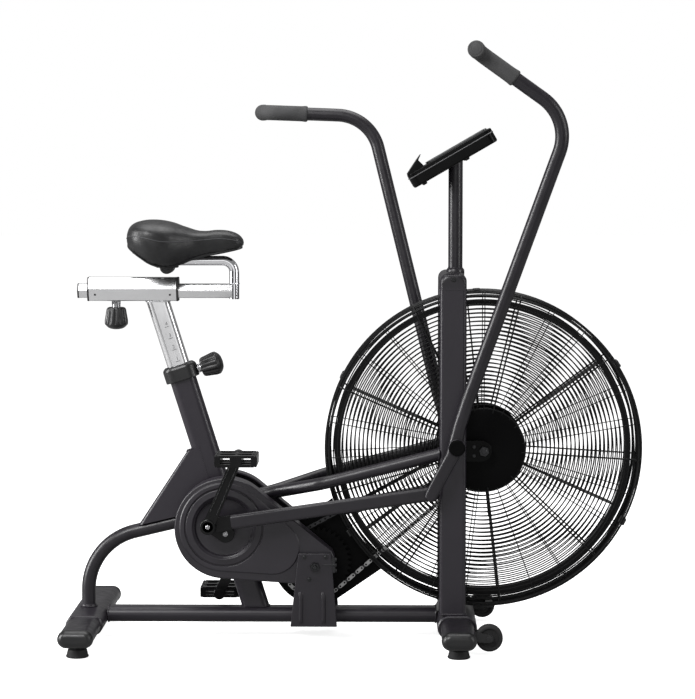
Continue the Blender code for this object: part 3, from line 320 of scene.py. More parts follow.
def shader(name, colour, roughness, metallic=0.0, coat=0.0, specular=0.5, sheen=0.0):
    """A Principled material with the given constants; returns it with its main parts."""
    material = bpy.data.materials.new(name)
    material.use_nodes = True
    tree = material.node_tree
    main = tree.nodes["Principled BSDF"]
    main.inputs["Base Color"].default_value = (*colour, 1.0)
    main.inputs["Roughness"].default_value = roughness
    main.inputs["Metallic"].default_value = metallic
    main.inputs["Coat Weight"].default_value = coat
    main.inputs["Coat Roughness"].default_value = 0.12
    main.inputs["Specular IOR Level"].default_value = specular
    main.inputs["Sheen Weight"].default_value = sheen
    place = tree.nodes.new("ShaderNodeTexCoord")
    return material, tree, main, place.outputs["Object"]


def noise(tree, place, scale, detail=3.0, stretch=None):
    """Noise over the object's own coordinates, optionally stretched."""
    texture = tree.nodes.new("ShaderNodeTexNoise")
    texture.inputs["Scale"].default_value = scale
    texture.inputs["Detail"].default_value = detail
    if stretch:
        mapping = tree.nodes.new("ShaderNodeMapping")
        mapping.inputs["Scale"].default_value = stretch
        tree.links.new(place, mapping.inputs["Vector"])
        place = mapping.outputs["Vector"]
    tree.links.new(place, texture.inputs["Vector"])
    return texture.outputs["Fac"]


def blend_colour(tree, fac, colour, darker, lighter, target):
    """Vary a colour between two multiples of itself as fac goes from 0.3 to 0.7."""
    ramp = tree.nodes.new("ShaderNodeValToRGB")
    for stop, position, factor in zip(ramp.color_ramp.elements, (0.3, 0.7), (darker, lighter)):
        stop.position = position
        stop.color = scaled(colour, factor)
    tree.links.new(fac, ramp.inputs["Fac"])
    tree.links.new(ramp.outputs["Color"], target)


def spread_value(tree, fac, low, high, target, start=0.3, stop=0.7):
    """Vary a value from low to high as fac goes from start to stop."""
    reach = tree.nodes.new("ShaderNodeMapRange")
    for socket, value in (("From Min", start), ("From Max", stop), ("To Min", low),
                          ("To Max", high)):
        reach.inputs[socket].default_value = value
    tree.links.new(fac, reach.inputs["Value"])
    tree.links.new(reach.outputs["Result"], target)


def raise_bump(tree, main, height, strength, distance):
    """Tilt the surface by a height, given in metres at full strength."""
    bump = tree.nodes.new("ShaderNodeBump")
    bump.inputs["Strength"].default_value = strength
    bump.inputs["Distance"].default_value = distance
    tree.links.new(height, bump.inputs["Height"])
    tree.links.new(bump.outputs["Normal"], main.inputs["Normal"])


def scaled(colour, factor):
    """A colour times a factor, opaque."""
    return (*(channel * factor for channel in colour), 1.0)


def painted_edge_highlight(tree, fac, colour, lift, target):
    """Mix a lighter colour, a painted highlight, in on outward edges over the given colour
    variation.
    """
    mix = tree.nodes.new("ShaderNodeMix")
    mix.data_type = "RGBA"
    edge = tree.nodes.new("ShaderNodeNewGeometry").outputs["Pointiness"]
    spread_value(tree, edge, 0.0, 1.0, mix.inputs["Factor"], 0.52, 0.62)
    blend_colour(tree, fac, colour, 0.85, 1.15, mix.inputs["A"])
    mix.inputs["B"].default_value = scaled(colour, lift)
    tree.links.new(mix.outputs["Result"], target)


def coated(name, colour, roughness, grain, coat=0.0, bump=0.12, specular=0.5):
    """Painted or moulded surface with a fine grain and outward edges lightened as a painted
    highlight.
    """
    material, tree, main, place = shader(name, colour, roughness, 0.0, coat, specular)
    cloud = noise(tree, place, 14.0, 4.0)
    # Outward edges get a lighter colour: a painted highlight.
    painted_edge_highlight(tree, cloud, colour, 1.9, main.inputs["Base Color"])
    spread_value(tree, noise(tree, place, 60.0), roughness - 0.05, roughness + 0.06,
                 main.inputs["Roughness"])
    raise_bump(tree, main, noise(tree, place, grain, 2.0), bump, 0.0004)
    return material


def rubbery(name, colour, grain):
    """Dull moulded rubber."""
    material, tree, main, place = shader(name, colour, 0.72, specular=0.35)
    blend_colour(tree, noise(tree, place, 30.0), colour, 0.8, 1.25, main.inputs["Base Color"])
    raise_bump(tree, main, noise(tree, place, grain, 3.0), 0.35, 0.0006)
    return material


def leathery(name, colour):
    """Vinyl with a pebble grain."""
    material, tree, main, place = shader(name, colour, 0.42, specular=0.5)
    cells = tree.nodes.new("ShaderNodeTexVoronoi")
    cells.feature = "DISTANCE_TO_EDGE"
    cells.inputs["Scale"].default_value = 620.0
    tree.links.new(place, cells.inputs["Vector"])
    blend_colour(tree, noise(tree, place, 40.0), colour, 0.8, 1.3, main.inputs["Base Color"])
    spread_value(tree, noise(tree, place, 90.0), 0.34, 0.48, main.inputs["Roughness"])
    raise_bump(tree, main, cells.outputs["Distance"], 0.32, 0.0006)
    return material


def metal(name, colour, roughness, stretch=None, bump=0.05, spread=0.07):
    """Bare metal, brushed along the axis that stretch leaves longest."""
    material, tree, main, place = shader(name, colour, roughness, metallic=1.0)
    grain = noise(tree, place, 220.0, 4.0, stretch)
    blend_colour(tree, noise(tree, place, 12.0), colour, 0.9, 1.04, main.inputs["Base Color"])
    spread_value(tree, grain, max(roughness - spread, 0.03), roughness + spread,
                 main.inputs["Roughness"])
    raise_bump(tree, main, grain, bump, 0.0002)
    return material


PAINT = coated("satin_paint", (0.0088, 0.0074, 0.0103), 0.35, 900.0, bump=0.04, specular=0.45)
WIRE = coated("wire_paint", (0.002, 0.002, 0.0022), 0.38, 600.0, specular=0.22)
BLACK = coated("matte_black", (0.0014, 0.0014, 0.0015), 0.45, 900.0, bump=0.05, specular=0.06)
CASE = coated("console_plastic", (0.0018, 0.0018, 0.0019), 0.26, 1100.0, specular=0.1)
# A light grey for the console's side bead: a painted highlight line.
HIGHLIGHT_LINE = coated("painted_highlight_line", (0.06, 0.06, 0.062), 0.35, 1100.0)
PLASTIC = coated("cover_plastic", (0.015, 0.013, 0.017), 0.36, 1300.0, bump=0.06, specular=0.45)
TRIM = coated("trim_plastic", (0.006, 0.006, 0.0065), 0.36, 900.0)
GLOSS = coated("crank_paint", (0.0026, 0.0026, 0.0028), 0.22, 500.0, coat=0.06, bump=0.03,
               specular=0.2)
RUBBER = rubbery("rubber", (0.014, 0.014, 0.0145), 500.0)
GRIP_RUBBER = rubbery("grip_rubber", (0.04, 0.04, 0.041), 700.0)
LEATHER = leathery("saddle_vinyl", (0.0075, 0.0075, 0.0082))
THREAD = coated("seam_thread", (0.03, 0.03, 0.032), 0.55, 1500.0)
STEEL = metal("brushed_steel", (0.8, 0.8, 0.81), 0.2, (1.0, 8.0, 0.15), 0.012, 0.02)
SLIDE_STEEL = metal("slide_steel", (0.8, 0.8, 0.81), 0.18, (0.15, 8.0, 8.0), 0.012, 0.02)
CHROME = metal("chrome", (0.82, 0.82, 0.84), 0.08, None, 0.01)
DARK_METAL = metal("dark_metal", (0.045, 0.045, 0.047), 0.34)
BOLT_METAL = metal("bolt_metal", (0.42, 0.42, 0.43), 0.25)
CHAIN_METAL = metal("chain_metal", (0.36, 0.36, 0.36), 0.38)
MARKS = coated("scale_marks", (0.05, 0.05, 0.052), 0.5, 900.0)
GLASS = coated("screen_window", (0.004, 0.005, 0.005), 0.12, 300.0, coat=0.6, bump=0.0)


# ---------------------------------------------------------------- base

def stabilizer_rings(centre, size, sleeve):
    """The flat-oval tube with its thicker sleeve, whose ends are slightly rounded."""
    soft = min(sleeve, 0.003)
    rings = []
    for y, grow in both_ways(((-TUBE_END, 0), (-SLEEVE_HALF, 0), (-SLEEVE_HALF, sleeve - soft),
                              (-SLEEVE_HALF + soft, sleeve))):
        profile = oval(size[0] + 2 * grow, size[1] + 2 * grow, steps=12)
        rings.append(placed(profile, at(centre, y), AHEAD, UP))
    return rings


def weld(bm, points, radius=0.0022, closed=True, ripple=0.16):
    """A bead of small overlapping ripples along a line."""
    path = []
    rings = []
    count = len(points)
    for i in range(count if closed else count - 1):
        a, b = points[i], points[(i + 1) % count]
        pieces = max(1, round((b - a).length / 0.0016))
        path += [a.lerp(b, k / pieces) for k in range(pieces)]
    if not closed:
        path.append(points[-1])
    total = len(path)
    for i, point in enumerate(path):
        ahead = path[(i + 1) % total] if closed or i + 1 < total else point
        behind = path[i - 1] if closed or i else point
        along = (ahead - behind).normalized()
        level = along.orthogonal().normalized()
        swell = radius * (1.0 + ripple * sin(i * pi / 1.5))
        rings.append(placed(circle(swell, 6), point, level, along.cross(level)))
    aligned = [rings[0]]
    for ring in rings[1:]:
        shift = min(range(6), key=lambda k: (ring[k] - aligned[-1][0]).length)
        aligned.append(ring[shift:] + ring[:shift])
    loft(bm, aligned, closed)


def build_stabilizers():
    """Both cross tubes with their caps and feet, and the front one's wheel brackets."""
    for end, centre, size, sleeve in (("rear", REAR_TUBE, REAR_SIZE, 0.0035),
                                      ("front", FRONT_TUBE, FRONT_SIZE, 0.007)):
        bm = bmesh.new()
        loft(bm, stabilizer_rings(centre, size, sleeve))
        piece(f"{end}_stabilizer_skin", bm, PAINT, "frame", [f"{end}_stabilizer"])
        if end == "front":
            build_wheel_forks()
        for side in SIDES:
            build_end_cap(end, side, centre, size)
            build_foot(end, side, centre, size)


def build_wheel_forks():
    """Bracket plates and an axle for each transport wheel."""
    bm = bmesh.new()
    root = (FRONT_TUBE[0] + FRONT_SIZE[0] / 2 - 0.012, FRONT_TUBE[1])
    arm = hull([(root, 0.012), (WHEEL, 0.009)], 40)
    for sign in SIDES.values():
        for offset in (-0.0165, 0.0165):
            y = sign * WHEEL_Y + offset
            slab(bm, arm, y - 0.0016, y + 0.0016, 0.0008)
        turned(bm, both_ways(((-0.0205, 0.004), (-0.02, 0.0065), (-0.0182, 0.0065),
                              (-0.0182, 0.004))), at(WHEEL, sign * WHEEL_Y), ACROSS, 24)
    piece("wheel_forks", bm, TRIM, "frame")


def build_end_cap(end, side, centre, size):
    """A moulded cap with a lip and a softly rounded nose."""
    sign = SIDES[side]
    rings = []
    stations = [(TUBE_END + GAP, 0.0006), (TUBE_END + 0.001, 0.0012),
                (TUBE_END + 0.004, 0.0012)]
    start = TUBE_END + 0.004
    for angle in arc(12)[1:]:
        stations.append((start + (CAP_END - start) * sin(angle),
                         0.0012 - 0.015 * (1 - cos(angle)) ** 0.9))
    for y, grow in stations:
        profile = oval(size[0] + 2 * grow, size[1] + 2 * grow, steps=10)
        rings.append(placed(profile, at(centre, sign * y), AHEAD, UP))
    bm = bmesh.new()
    loft(bm, rings)
    piece(f"{end}_cap_{side}", bm, TRIM, "frame", [f"end_cap_{end}_{side}"])


def build_foot(end, side, centre, size):
    """A conical rubber foot with a rounded lip at its base, under its levelling stud."""
    top = centre[1] - size[1] / 2
    place = Vector((centre[0], SIDES[side] * FOOT_Y, 0))
    profile = [(0.0, 0.0225), (0.001, 0.0242), (0.0026, 0.0249), (0.004, 0.0246),
               (0.0044, 0.0238), (0.0165, 0.0209), (0.0176, 0.02), (0.018, 0.0185),
               (0.018, 0.008), (top - 0.0004, 0.008)]
    bm = bmesh.new()
    turned(bm, profile, place, UP, 40)
    piece(f"foot_{end}_{side}_skin", bm, RUBBER, "frame", [f"foot_{end}_{side}"])


def build_wheel(side):
    """A transport wheel with a grooved tread, a dished face and a hub."""
    sign = SIDES[side]
    place = at(WHEEL, sign * WHEEL_Y)
    half, rim = 0.012, WHEEL_RADIUS
    profile = [(-half * 0.72, 0.0047), (-half, 0.006), (-half, 0.01), (-half * 0.7, 0.0115),
               (-half * 0.7, 0.0205), (-half, 0.022), (-half, rim - 0.004),
               (-half + 0.0012, rim - 0.0015), (-half + 0.0036, rim - 0.0001),
               (-0.0012, rim), (-0.0008, rim - 0.001)]
    bm = bmesh.new()
    turned(bm, both_ways(profile), place, ACROSS, 48, closed=True)
    piece(f"transport_wheel_{side}", bm, RUBBER, f"wheel_{side}", [f"wheel_{side}"])


def build_base_tube():
    """The flat-oval tube between the stabilizers, with a weld at each end."""
    rear = REAR_TUBE[0] + REAR_SIZE[0] / 2 + 0.0039
    front = FRONT_TUBE[0] - FRONT_SIZE[0] / 2 - 0.0074
    profile = oval(0.06, 0.034, steps=12)
    bm = bmesh.new()
    rings = sweep_rings([Vector((rear, 0, BASE_Z)), Vector((front, 0, BASE_Z))], [profile] * 2)
    loft(bm, rings)
    for ring, shift in ((rings[0], 0.0012), (rings[-1], -0.0012)):
        weld(bm, [p + AHEAD * shift for p in ring], 0.002)
    piece("base_tube_skin", bm, PAINT, "frame", ["base_tube"])


# ---------------------------------------------------------------- main frame

SEAT_UP = Vector((-sin(SEAT_TILT), 0, cos(SEAT_TILT)))
SEAT_FORWARD = spoke(SEAT_TILT)


def on_seat_axis(distance, forward=0.0):
    """A point along the seat tube's axis from its top, and forward of it."""
    return at(SEAT_TOP) + SEAT_UP * distance + SEAT_FORWARD * forward


def seat_ring(size, distance, steps=10):
    """A flat-oval ring square to the seat tube's axis."""
    return placed(oval(*size, steps=steps), on_seat_axis(distance), ACROSS, -SEAT_FORWARD)


def trimmed(ring, direction, plane_point, plane_normal):
    """Slide a ring's points along direction until they lie on a plane."""
    scale = direction.dot(plane_normal)
    return [p + direction * ((plane_point - p).dot(plane_normal) / scale) for p in ring]


def build_seat_tube():
    """The leaned tube, hollow for the post, with its weld and the crank shell."""
    foot_plane = Vector((0, 0, BASE_Z + 0.0174))
    foot = trimmed(seat_ring(SEAT_TUBE_SIZE, -0.5), SEAT_UP, foot_plane, UP)
    bm = bmesh.new()
    loft(bm, [foot, seat_ring(SEAT_TUBE_SIZE, -0.01), seat_ring(SEAT_LINER_SIZE, -0.01),
              seat_ring(SEAT_LINER_SIZE, -0.305)])
    weld(bm, [p + UP * 0.0008 for p in foot], 0.002)
    turned(bm, both_ways(((-0.034, 0.0205), (-0.034, 0.027), (-0.033, 0.028))),
           at(CRANK), ACROSS, 48, closed=True)
    piece("seat_tube_skin", bm, PAINT, "frame", ["seat_tube"])


ARCH_CORNER = (-0.604, 0.2138)
ARCH_RISE = radians(13.5)
ARCH_RADIUS = 0.016


def arch_point(x):
    """A point on the arch's straight run."""
    return at((x, ARCH_CORNER[1] + (x - ARCH_CORNER[0]) * tan(ARCH_RISE)))


def build_rear_arch():
    """The bent tube with its collar weld, and the folded gusset over it."""
    back_point, back_normal = on_seat_axis(0, -0.0304), SEAT_FORWARD
    foot = at((ARCH_CORNER[0], REAR_TUBE[1] + REAR_SIZE[1] / 2 + 0.0039))
    path = rounded_path([foot, at(ARCH_CORNER), arch_point(-0.3)], 0.137, 24)
    rings = sweep_rings(path, [circle(ARCH_RADIUS, 36)] * len(path))
    along = (path[-1] - path[-2]).normalized()
    rings[-1] = trimmed(rings[-1], along, back_point, back_normal)
    bm = bmesh.new()
    loft(bm, rings)
    turned(bm, ((0.0, 0.0155), (0.0, 0.0182), (0.0035, 0.018), (0.0055, 0.0168),
                (0.006, 0.0155)), foot, UP, 48)
    weld(bm, placed(circle(0.0184, 36), foot + UP * 0.0008, AHEAD, ACROSS), 0.0016)
    piece("rear_arch_skin", bm, PAINT, "frame", ["rear_arch"])

    lift = spoke(ARCH_RISE + pi / 2) * (ARCH_RADIUS - 0.003)
    tail = arch_point(-0.486) + lift
    slope = spoke(ARCH_RISE)
    heel = tail + slope * ((back_point - tail).dot(back_normal) / slope.dot(back_normal))
    top = heel + SEAT_UP * ((0.4255 - heel.z) / SEAT_UP.z)
    crown = top - SEAT_FORWARD * 0.01
    corners = [tail, heel, top, crown]
    bm = bmesh.new()
    half = 0.0188
    loft(bm, [[p + ACROSS * -half for p in corners], [p + ACROSS * half for p in corners]])
    rear = (crown - tail).length
    edges = [e for e in bm.edges
             if abs((e.verts[0].co - e.verts[1].co).length - rear) < 1e-5]
    bmesh.ops.bevel(bm, geom=edges, offset=0.01, segments=8, profile=0.5, affect="EDGES")
    wing = [heel - SEAT_FORWARD * 0.004, heel + SEAT_FORWARD * 0.019,
            top + SEAT_FORWARD * 0.019 + SEAT_UP * 0.003, top - SEAT_FORWARD * 0.004]
    for sign in SIDES.values():
        loft(bm, [[p + ACROSS * sign * y for p in wing] for y in (0.018, 0.0191)])
    weld(bm, [top + ACROSS * (half - 0.004), crown + ACROSS * (half - 0.004),
              crown - ACROSS * (half - 0.004), top - ACROSS * (half - 0.004)], 0.0018)
    piece("seat_gusset_skin", bm, PAINT, "frame")


def build_side_tube(side):
    """A stay from the seat tube that splays round the guard to its upright."""
    sign = SIDES[side]
    rear, front = (-0.27, 0.308), (0.188, 0.427)
    slope = (front[1] - rear[1]) / (front[0] - rear[0])

    def stay(x, y):
        return Vector((x, sign * y, rear[1] + (x - rear[0]) * slope))

    path = rounded_path([stay(-0.28, 0.0162), stay(-0.18, 0.0175), stay(-0.072, 0.0855),
                         stay(front[0], UPRIGHT_Y)], 0.07, 12)
    rings = sweep_rings(path, [circle(0.014, 32)] * len(path), UP)
    seat_face = on_seat_axis(0, 0.0304)
    rings[0] = trimmed(rings[0], (path[1] - path[0]).normalized(), seat_face, SEAT_FORWARD)
    face = Vector((UPRIGHT_X - UPRIGHT_SIZE[0] / 2 - GAP, 0, 0))
    rings[-1] = trimmed(rings[-1], (path[-1] - path[-2]).normalized(), face, AHEAD)
    bm = bmesh.new()
    loft(bm, rings)
    weld(bm, [p - AHEAD * 0.001 for p in rings[-1]], 0.0022)
    piece(f"side_tube_{side}_skin", bm, PAINT, "frame", [f"side_tube_{side}"])


def build_upright(side):
    """The leg with its welded foot, and the plate that holds the axle."""
    sign = SIDES[side]
    foot = FRONT_TUBE[1] + FRONT_SIZE[1] / 2 + 0.0074
    profile = oval(*UPRIGHT_SIZE, 0.009, 10)
    bm = bmesh.new()
    rings = [[Vector((UPRIGHT_X + u, sign * UPRIGHT_Y + v, z)) for u, v in profile]
             for z in (foot, UPRIGHT_TOP)]
    loft(bm, rings)
    weld(bm, [p + UP * 0.001 for p in rings[0]], 0.0024)
    piece(f"upright_{side}_skin", bm, PAINT, "frame", [f"upright_{side}"])

    ends = ((UPRIGHT_X, FAN[1]), (FAN[0] - 0.006, FAN[1]))
    bm = bmesh.new()
    slab(bm, hull([(end, 0.0235) for end in ends], 64), *layer(side, 0.083, 0.09), 0.0012)
    piece(f"axle_plate_{side}", bm, CASE, "frame")
    bm = bmesh.new()
    for x, z in ((FAN[0] - 0.022, FAN[1] + 0.01), (FAN[0] - 0.022, FAN[1] - 0.01)):
        turned(bm, ((0.0895, 0.0042), (0.0915, 0.0042), (0.0925, 0.0034), (0.0925, 0.0018),
                    (0.0912, 0.0016)), at((x, z)), ACROSS * sign, 18)
    piece(f"plate_screws_{side}", bm, DARK_METAL, "frame")


def arched(width, height, radius, steps=8):
    """A block's outline with its two upper corners rounded, its foot at zero."""
    points = [(-width / 2, 0.0), (width / 2, 0.0)]
    for way, first in ((1, 0.0), (-1, pi / 2)):
        corner = (way * (width / 2 - radius), height - radius)
        points += [around(corner, radius, angle) for angle in arc(steps, first)]
    return points


def build_bridge():
    """The rounded bar over the guard, with a bolt at each end."""
    half = UPRIGHT_Y + UPRIGHT_SIZE[1] / 2
    bottom = UPRIGHT_TOP + GAP
    rings = []
    for y, inset in both_ways([(rise - half, inset) for rise, inset in rounding(0.014, 0.012, 6)]):
        profile = arched(UPRIGHT_SIZE[0] - inset, BRIDGE_TOP - bottom - inset, 0.018)
        rings.append(placed(profile, at((UPRIGHT_X, bottom), y), AHEAD, UP))
    bm = bmesh.new()
    loft(bm, rings)
    piece("upright_bridge_skin", bm, PAINT, "frame", ["upright_bridge"])
    bm = bmesh.new()
    for sign in SIDES.values():
        turned(bm, ((0.111, 0.0056), (0.1128, 0.0056), (0.114, 0.0046), (0.114, 0.0026),
                    (0.1128, 0.0022)), at((UPRIGHT_X, BRIDGE_TOP - 0.013)), ACROSS * sign, 24)
    piece("bridge_bolts", bm, DARK_METAL, "frame")


def console_frame():
    """The console's centre and the directions along it and out of its face."""
    return at(CONSOLE_CENTRE), spoke(CONSOLE_TILT), spoke(CONSOLE_TILT + pi / 2)


def build_mast():
    """The round mast with a flared foot, cut to the console's underside."""
    centre, _, facing = console_frame()
    foot = BRIDGE_TOP + GAP
    profile = [(foot - 0.012, 0.02), (foot - 0.001, 0.0205), (foot + 0.0035, 0.02),
               (foot + 0.0065, 0.0178), (foot + 0.0085, 0.0164), (foot + 0.009, 0.016),
               (CONSOLE_CENTRE[1], 0.016)]
    side = UP.orthogonal().normalized()
    rings = [placed(circle(radius, 40), Vector((MAST_X, 0, height)), side, UP.cross(side))
             for height, radius in profile]
    underside = centre - facing * 0.0169
    rings[-1] = trimmed(rings[-1], UP, underside, facing)
    bm = bmesh.new()
    loft(bm, rings)
    piece("console_mast_skin", bm, PAINT, "frame", ["console_mast"])


def build_console():
    """A slab with a raised side line, a ledge, two feet under it and a screen with keys."""
    centre, long, facing = console_frame()
    length, width, thick = 0.211, 0.18, 0.033
    stations = [(rise - thick / 2, inset) for rise, inset in rounding(0.004, 0.004, 4)]
    stations += [(0.0055, 0.0), (0.0077, 0.0)]
    stations += [(thick / 2 - rise, inset)
                 for rise, inset in reversed(rounding(0.003, 0.003, 4)[:4])]
    rings = []
    for rise, inset in stations:
        profile = oval(length - 2 * inset, width - 2 * inset, 0.018 - inset, 8)
        rings.append(placed(profile, centre + facing * rise, long, ACROSS))
    bm = bmesh.new()
    loft(bm, rings)
    piece("console_shell", bm, CASE, "frame", ["console_housing"])
    bm = bmesh.new()
    # A thin bead round the side, coloured lighter as a painted highlight line.
    seam = oval(length + 0.0012, width + 0.0012, 0.0186, 8)
    weld(bm, placed(seam, centre + facing * 0.0066, long, ACROSS), 0.001, ripple=0.0)
    piece("console_side_line", bm, HIGHLIGHT_LINE, "frame")

    ledge = ((-0.104, 0.012), (-0.104, 0.019), (-0.09, 0.0262), (-0.07, 0.0362),
             (-0.056, 0.0425), (-0.06, 0.0392), (-0.0676, 0.0335), (-0.065, 0.025),
             (-0.0616, 0.012))
    bm = bmesh.new()
    loft(bm, [[centre + long * u + facing * v + ACROSS * y for u, v in ledge]
              for y in (-0.082, 0.082)])
    piece("console_ledge", bm, CASE, "frame", bevel=0.0008)

    bm = bmesh.new()
    for u in (-0.08, 0.028):
        for y in (-0.055, 0.055):
            spot = centre + long * u + ACROSS * y - facing * (thick / 2 - 0.001)
            turned(bm, ((0, 0.006), (0.004, 0.0055), (0.0055, 0.004)), spot, -facing, 20)
    piece("console_feet", bm, CASE, "frame")

    bm = bmesh.new()
    middle = centre + long * 0.021 + facing * (thick / 2)
    rings = [placed(oval(0.152 - 2 * inset, 0.156 - 2 * inset, 0.01, 8),
                    middle + facing * rise, long, ACROSS)
             for rise, inset in ((0.0004, 0.0), (0.003, 0.0), (0.0038, 0.001))]
    loft(bm, rings)
    piece("console_window", bm, GLASS, "frame", ["console_screen"])
    build_readout(middle + facing * 0.00385, long, facing)


def build_readout(corner, long, facing):
    """Rows of plain bar segments and a row of keys on the window."""
    bm = bmesh.new()
    for row in range(4):
        for column in range(5):
            spot = corner + long * (0.058 - row * 0.022) + ACROSS * (-0.052 + column * 0.026)
            box(bm, spot, (0.011, 0.017, 0.0003), long, facing)
    for key in range(4):
        spot = corner - long * 0.05 + ACROSS * (-0.051 + key * 0.034)
        turned(bm, ((-0.0002, 0.0075), (0.0001, 0.0075)), spot, facing, 24)
    piece("console_readout", bm, MARKS, "frame")


# ---------------------------------------------------------------- fan and guard

RADIALS = 27
FIRST_RADIAL = radians(-3.6)
SHOULDER_RADIUS = 0.333
SHOULDER_BEND = 0.0198
RIM_RADIUS = SHOULDER_RADIUS + SHOULDER_BEND
THIN_WIRE = 0.001
RING_WIRE = 0.0015
THICK_WIRE = 0.0018


def shoulder(face, degrees):
    """The guard's line where it bends from its face to its rim, as (radius, |y|) pairs."""
    return [(SHOULDER_RADIUS + SHOULDER_BEND * sin(radians(a)),
             face - SHOULDER_BEND * (1 - cos(radians(a)))) for a in degrees]


def radial_wire(bm, angle, line, sign, wire):
    """A wire along a line of (radius, y) pairs, sign giving the side it lies on."""
    out = spoke(angle)
    path = [at(FAN, sign * y) + out * r for r, y in line]
    side = out.cross(ACROSS)
    loft(bm, sweep_rings(path, [circle(wire, 6)] * len(path), side))


def build_guard(side):
    """Near or far half: closely spaced rings, radials, the rim's rings and the disc."""
    sign = SIDES[side]
    face = GUARD_HALF - 0.003
    bm = bmesh.new()
    for k in range(28):
        hoop(bm, FAN, 0.0925 + 0.0093 * k, RING_WIRE if k % 9 else THICK_WIRE, sign * face, 144)
    for radius, y in shoulder(face, (40, 62, 90)):
        hoop(bm, FAN, radius, THICK_WIRE, sign * y, 144)
    rim_y = (-0.04,) if side == "right" else (0.036, 0.024, 0.012, 0.0, -0.01)
    for y in rim_y:
        hoop(bm, FAN, RIM_RADIUS, THICK_WIRE, y, 144)
    outside = GUARD_HALF - 0.0016
    line = [(0.084, outside), (SHOULDER_RADIUS, outside), *shoulder(outside, range(15, 91, 15)),
            (RIM_RADIUS, sign * rim_y[-1])]
    for k in range(RADIALS):
        radial_wire(bm, FIRST_RADIAL + 2 * pi * k / RADIALS, line, sign,
                    THIN_WIRE if k % 3 else THICK_WIRE)
    piece(f"wire_guard_{side}", bm, WIRE, "frame", [f"fan_guard_{side}"])

    bm = bmesh.new()
    outer = GUARD_HALF
    profile = [(outer - 0.003, 0.0912), (outer - 0.0016, 0.0912), (outer - 0.0008, 0.09),
               (outer - 0.0006, 0.082), (outer, 0.08), (outer, 0.048), (outer - 0.001, 0.046),
               (outer - 0.001, 0.01), (outer - 0.003, 0.01)]
    turned(bm, profile, at(FAN), ACROSS * sign, 96, closed=True)
    piece(f"guard_disc_{side}", bm, BLACK, "frame")


def build_guard_clips():
    """Moulded clips that hold the two halves together round the rim."""
    bm = bmesh.new()
    for k in range(6):
        out = spoke(radians(32.5 + 60 * k))
        spot = at(FAN, -0.025) + out * 0.3535
        box(bm, spot, (0.01, 0.04, 0.016), out, ACROSS.cross(out).normalized())
    piece("guard_clips", bm, TRIM, "frame", bevel=0.0015)


def build_fan():
    """The fan wheel: hub, rods, thin paddles and the outer hoop, with its sprocket."""
    bm = bmesh.new()
    turned(bm, ((-0.008, 0.0094), (-0.008, 0.038), (-0.006, 0.04), (0.053, 0.04),
                (0.055, 0.038), (0.055, 0.0094)), at(FAN), ACROSS, 64, closed=True)
    turned(bm, both_ways(((-0.01, 0.3195), (-0.01, 0.3325))), at(FAN), ACROSS, 144, closed=True)
    for k in range(6):
        angle = 2 * pi * (k + 0.6) / 6
        out, turn = spoke(angle), spoke(angle + pi / 2)
        tube(bm, [at(FAN, 0.022) + out * r for r in (0.036, 0.16)], 0.003, 10, turn)
        rings = []
        for radius, low, high in ((0.15, 0.006, 0.04), (0.158, -0.004, 0.051),
                                  (0.17, -0.007, 0.055), (0.322, -0.007, 0.055)):
            spot = at(FAN) + out * radius
            rings.append([spot + ACROSS * y + turn * t for y, t in
                          ((low, -0.0009), (high, -0.0009), (high, 0.0009), (low, 0.0009))])
        loft(bm, rings)
    piece("fan_paddles", bm, WIRE, "fan", ["fan_wheel"])
    bm = bmesh.new()
    sprocket(bm, FAN, 14, FAN_SPROCKET_RADIUS, SECOND_CHAIN_Y)
    piece("fan_sprocket", bm, BLACK, "fan")


def build_fan_axle():
    """The fixed axle with a nut and a domed end on each side."""
    bm = bmesh.new()
    turned(bm, ((-0.0905, 0.0085), (0.0905, 0.0085)), at(FAN), ACROSS, 32)
    for sign in SIDES.values():
        nut(bm, at(FAN, sign * 0.0905), ACROSS * sign, 0.012, 0.007)
        turned(bm, ((0.0972, 0.006), (0.099, 0.006), (0.1, 0.0048)), at(FAN),
               ACROSS * sign, 24)
    piece("fan_axle_skin", bm, DARK_METAL, "frame", ["fan_axle"])


def nut(bm, foot, axis, radius, height):
    """A six-sided nut with turned-down corners."""
    turned(bm, ((0, radius * 0.94), (height * 0.12, radius), (height * 0.85, radius),
                (height, radius * 0.92)), foot, axis, 6)


# ---------------------------------------------------------------- drive

def sprocket(bm, centre, teeth, radius, y):
    """A toothed disc at its pitch radius, bored for its shaft."""
    steps = teeth * 8
    root, tip, bore, half = radius - 0.004, radius + 0.003, 0.0112, 0.0015
    outer = []
    inner = []
    for i in range(steps):
        angle = 2 * pi * i / steps
        tooth = 0.5 + 0.5 * cos(angle * teeth)
        reach = root + (tip - root) * min(1.0, max(0.0, (tooth - 0.25) / 0.6))
        outer.append(around(centre, reach, angle))
        inner.append(around(centre, bore, angle))
    low, high = y - half, y + half
    loft(bm, [[at(p, low) for p in outer], [at(p, high) for p in outer],
              [at(p, high) for p in inner], [at(p, low) for p in inner]], closed=True)


def belt_path(first, second):
    """Chain joints, an even number, spaced round two circles given as (centre, radius)."""
    points = [at(p) for p in hull([first, second], 720)]
    lengths = [(b - a).length for a, b in zip(points, points[1:] + points[:1])]
    total = sum(lengths)
    count = 2 * round(total / CHAIN_PITCH / 2)
    joints = []
    position, index = 0.0, 0
    for k in range(count):
        target = total * k / count
        while position + lengths[index] < target:
            position += lengths[index]
            index += 1
        a, b = points[index], points[(index + 1) % len(points)]
        joints.append(a.lerp(b, (target - position) / max(lengths[index], 1e-9)))
    return joints


def rises_above(point, start, end):
    """Whether a point lies over the line between two pairs."""
    run, rise = end[0] - start[0], end[1] - start[1]
    return (point.z - start[1]) * run > (point.x - start[0]) * rise


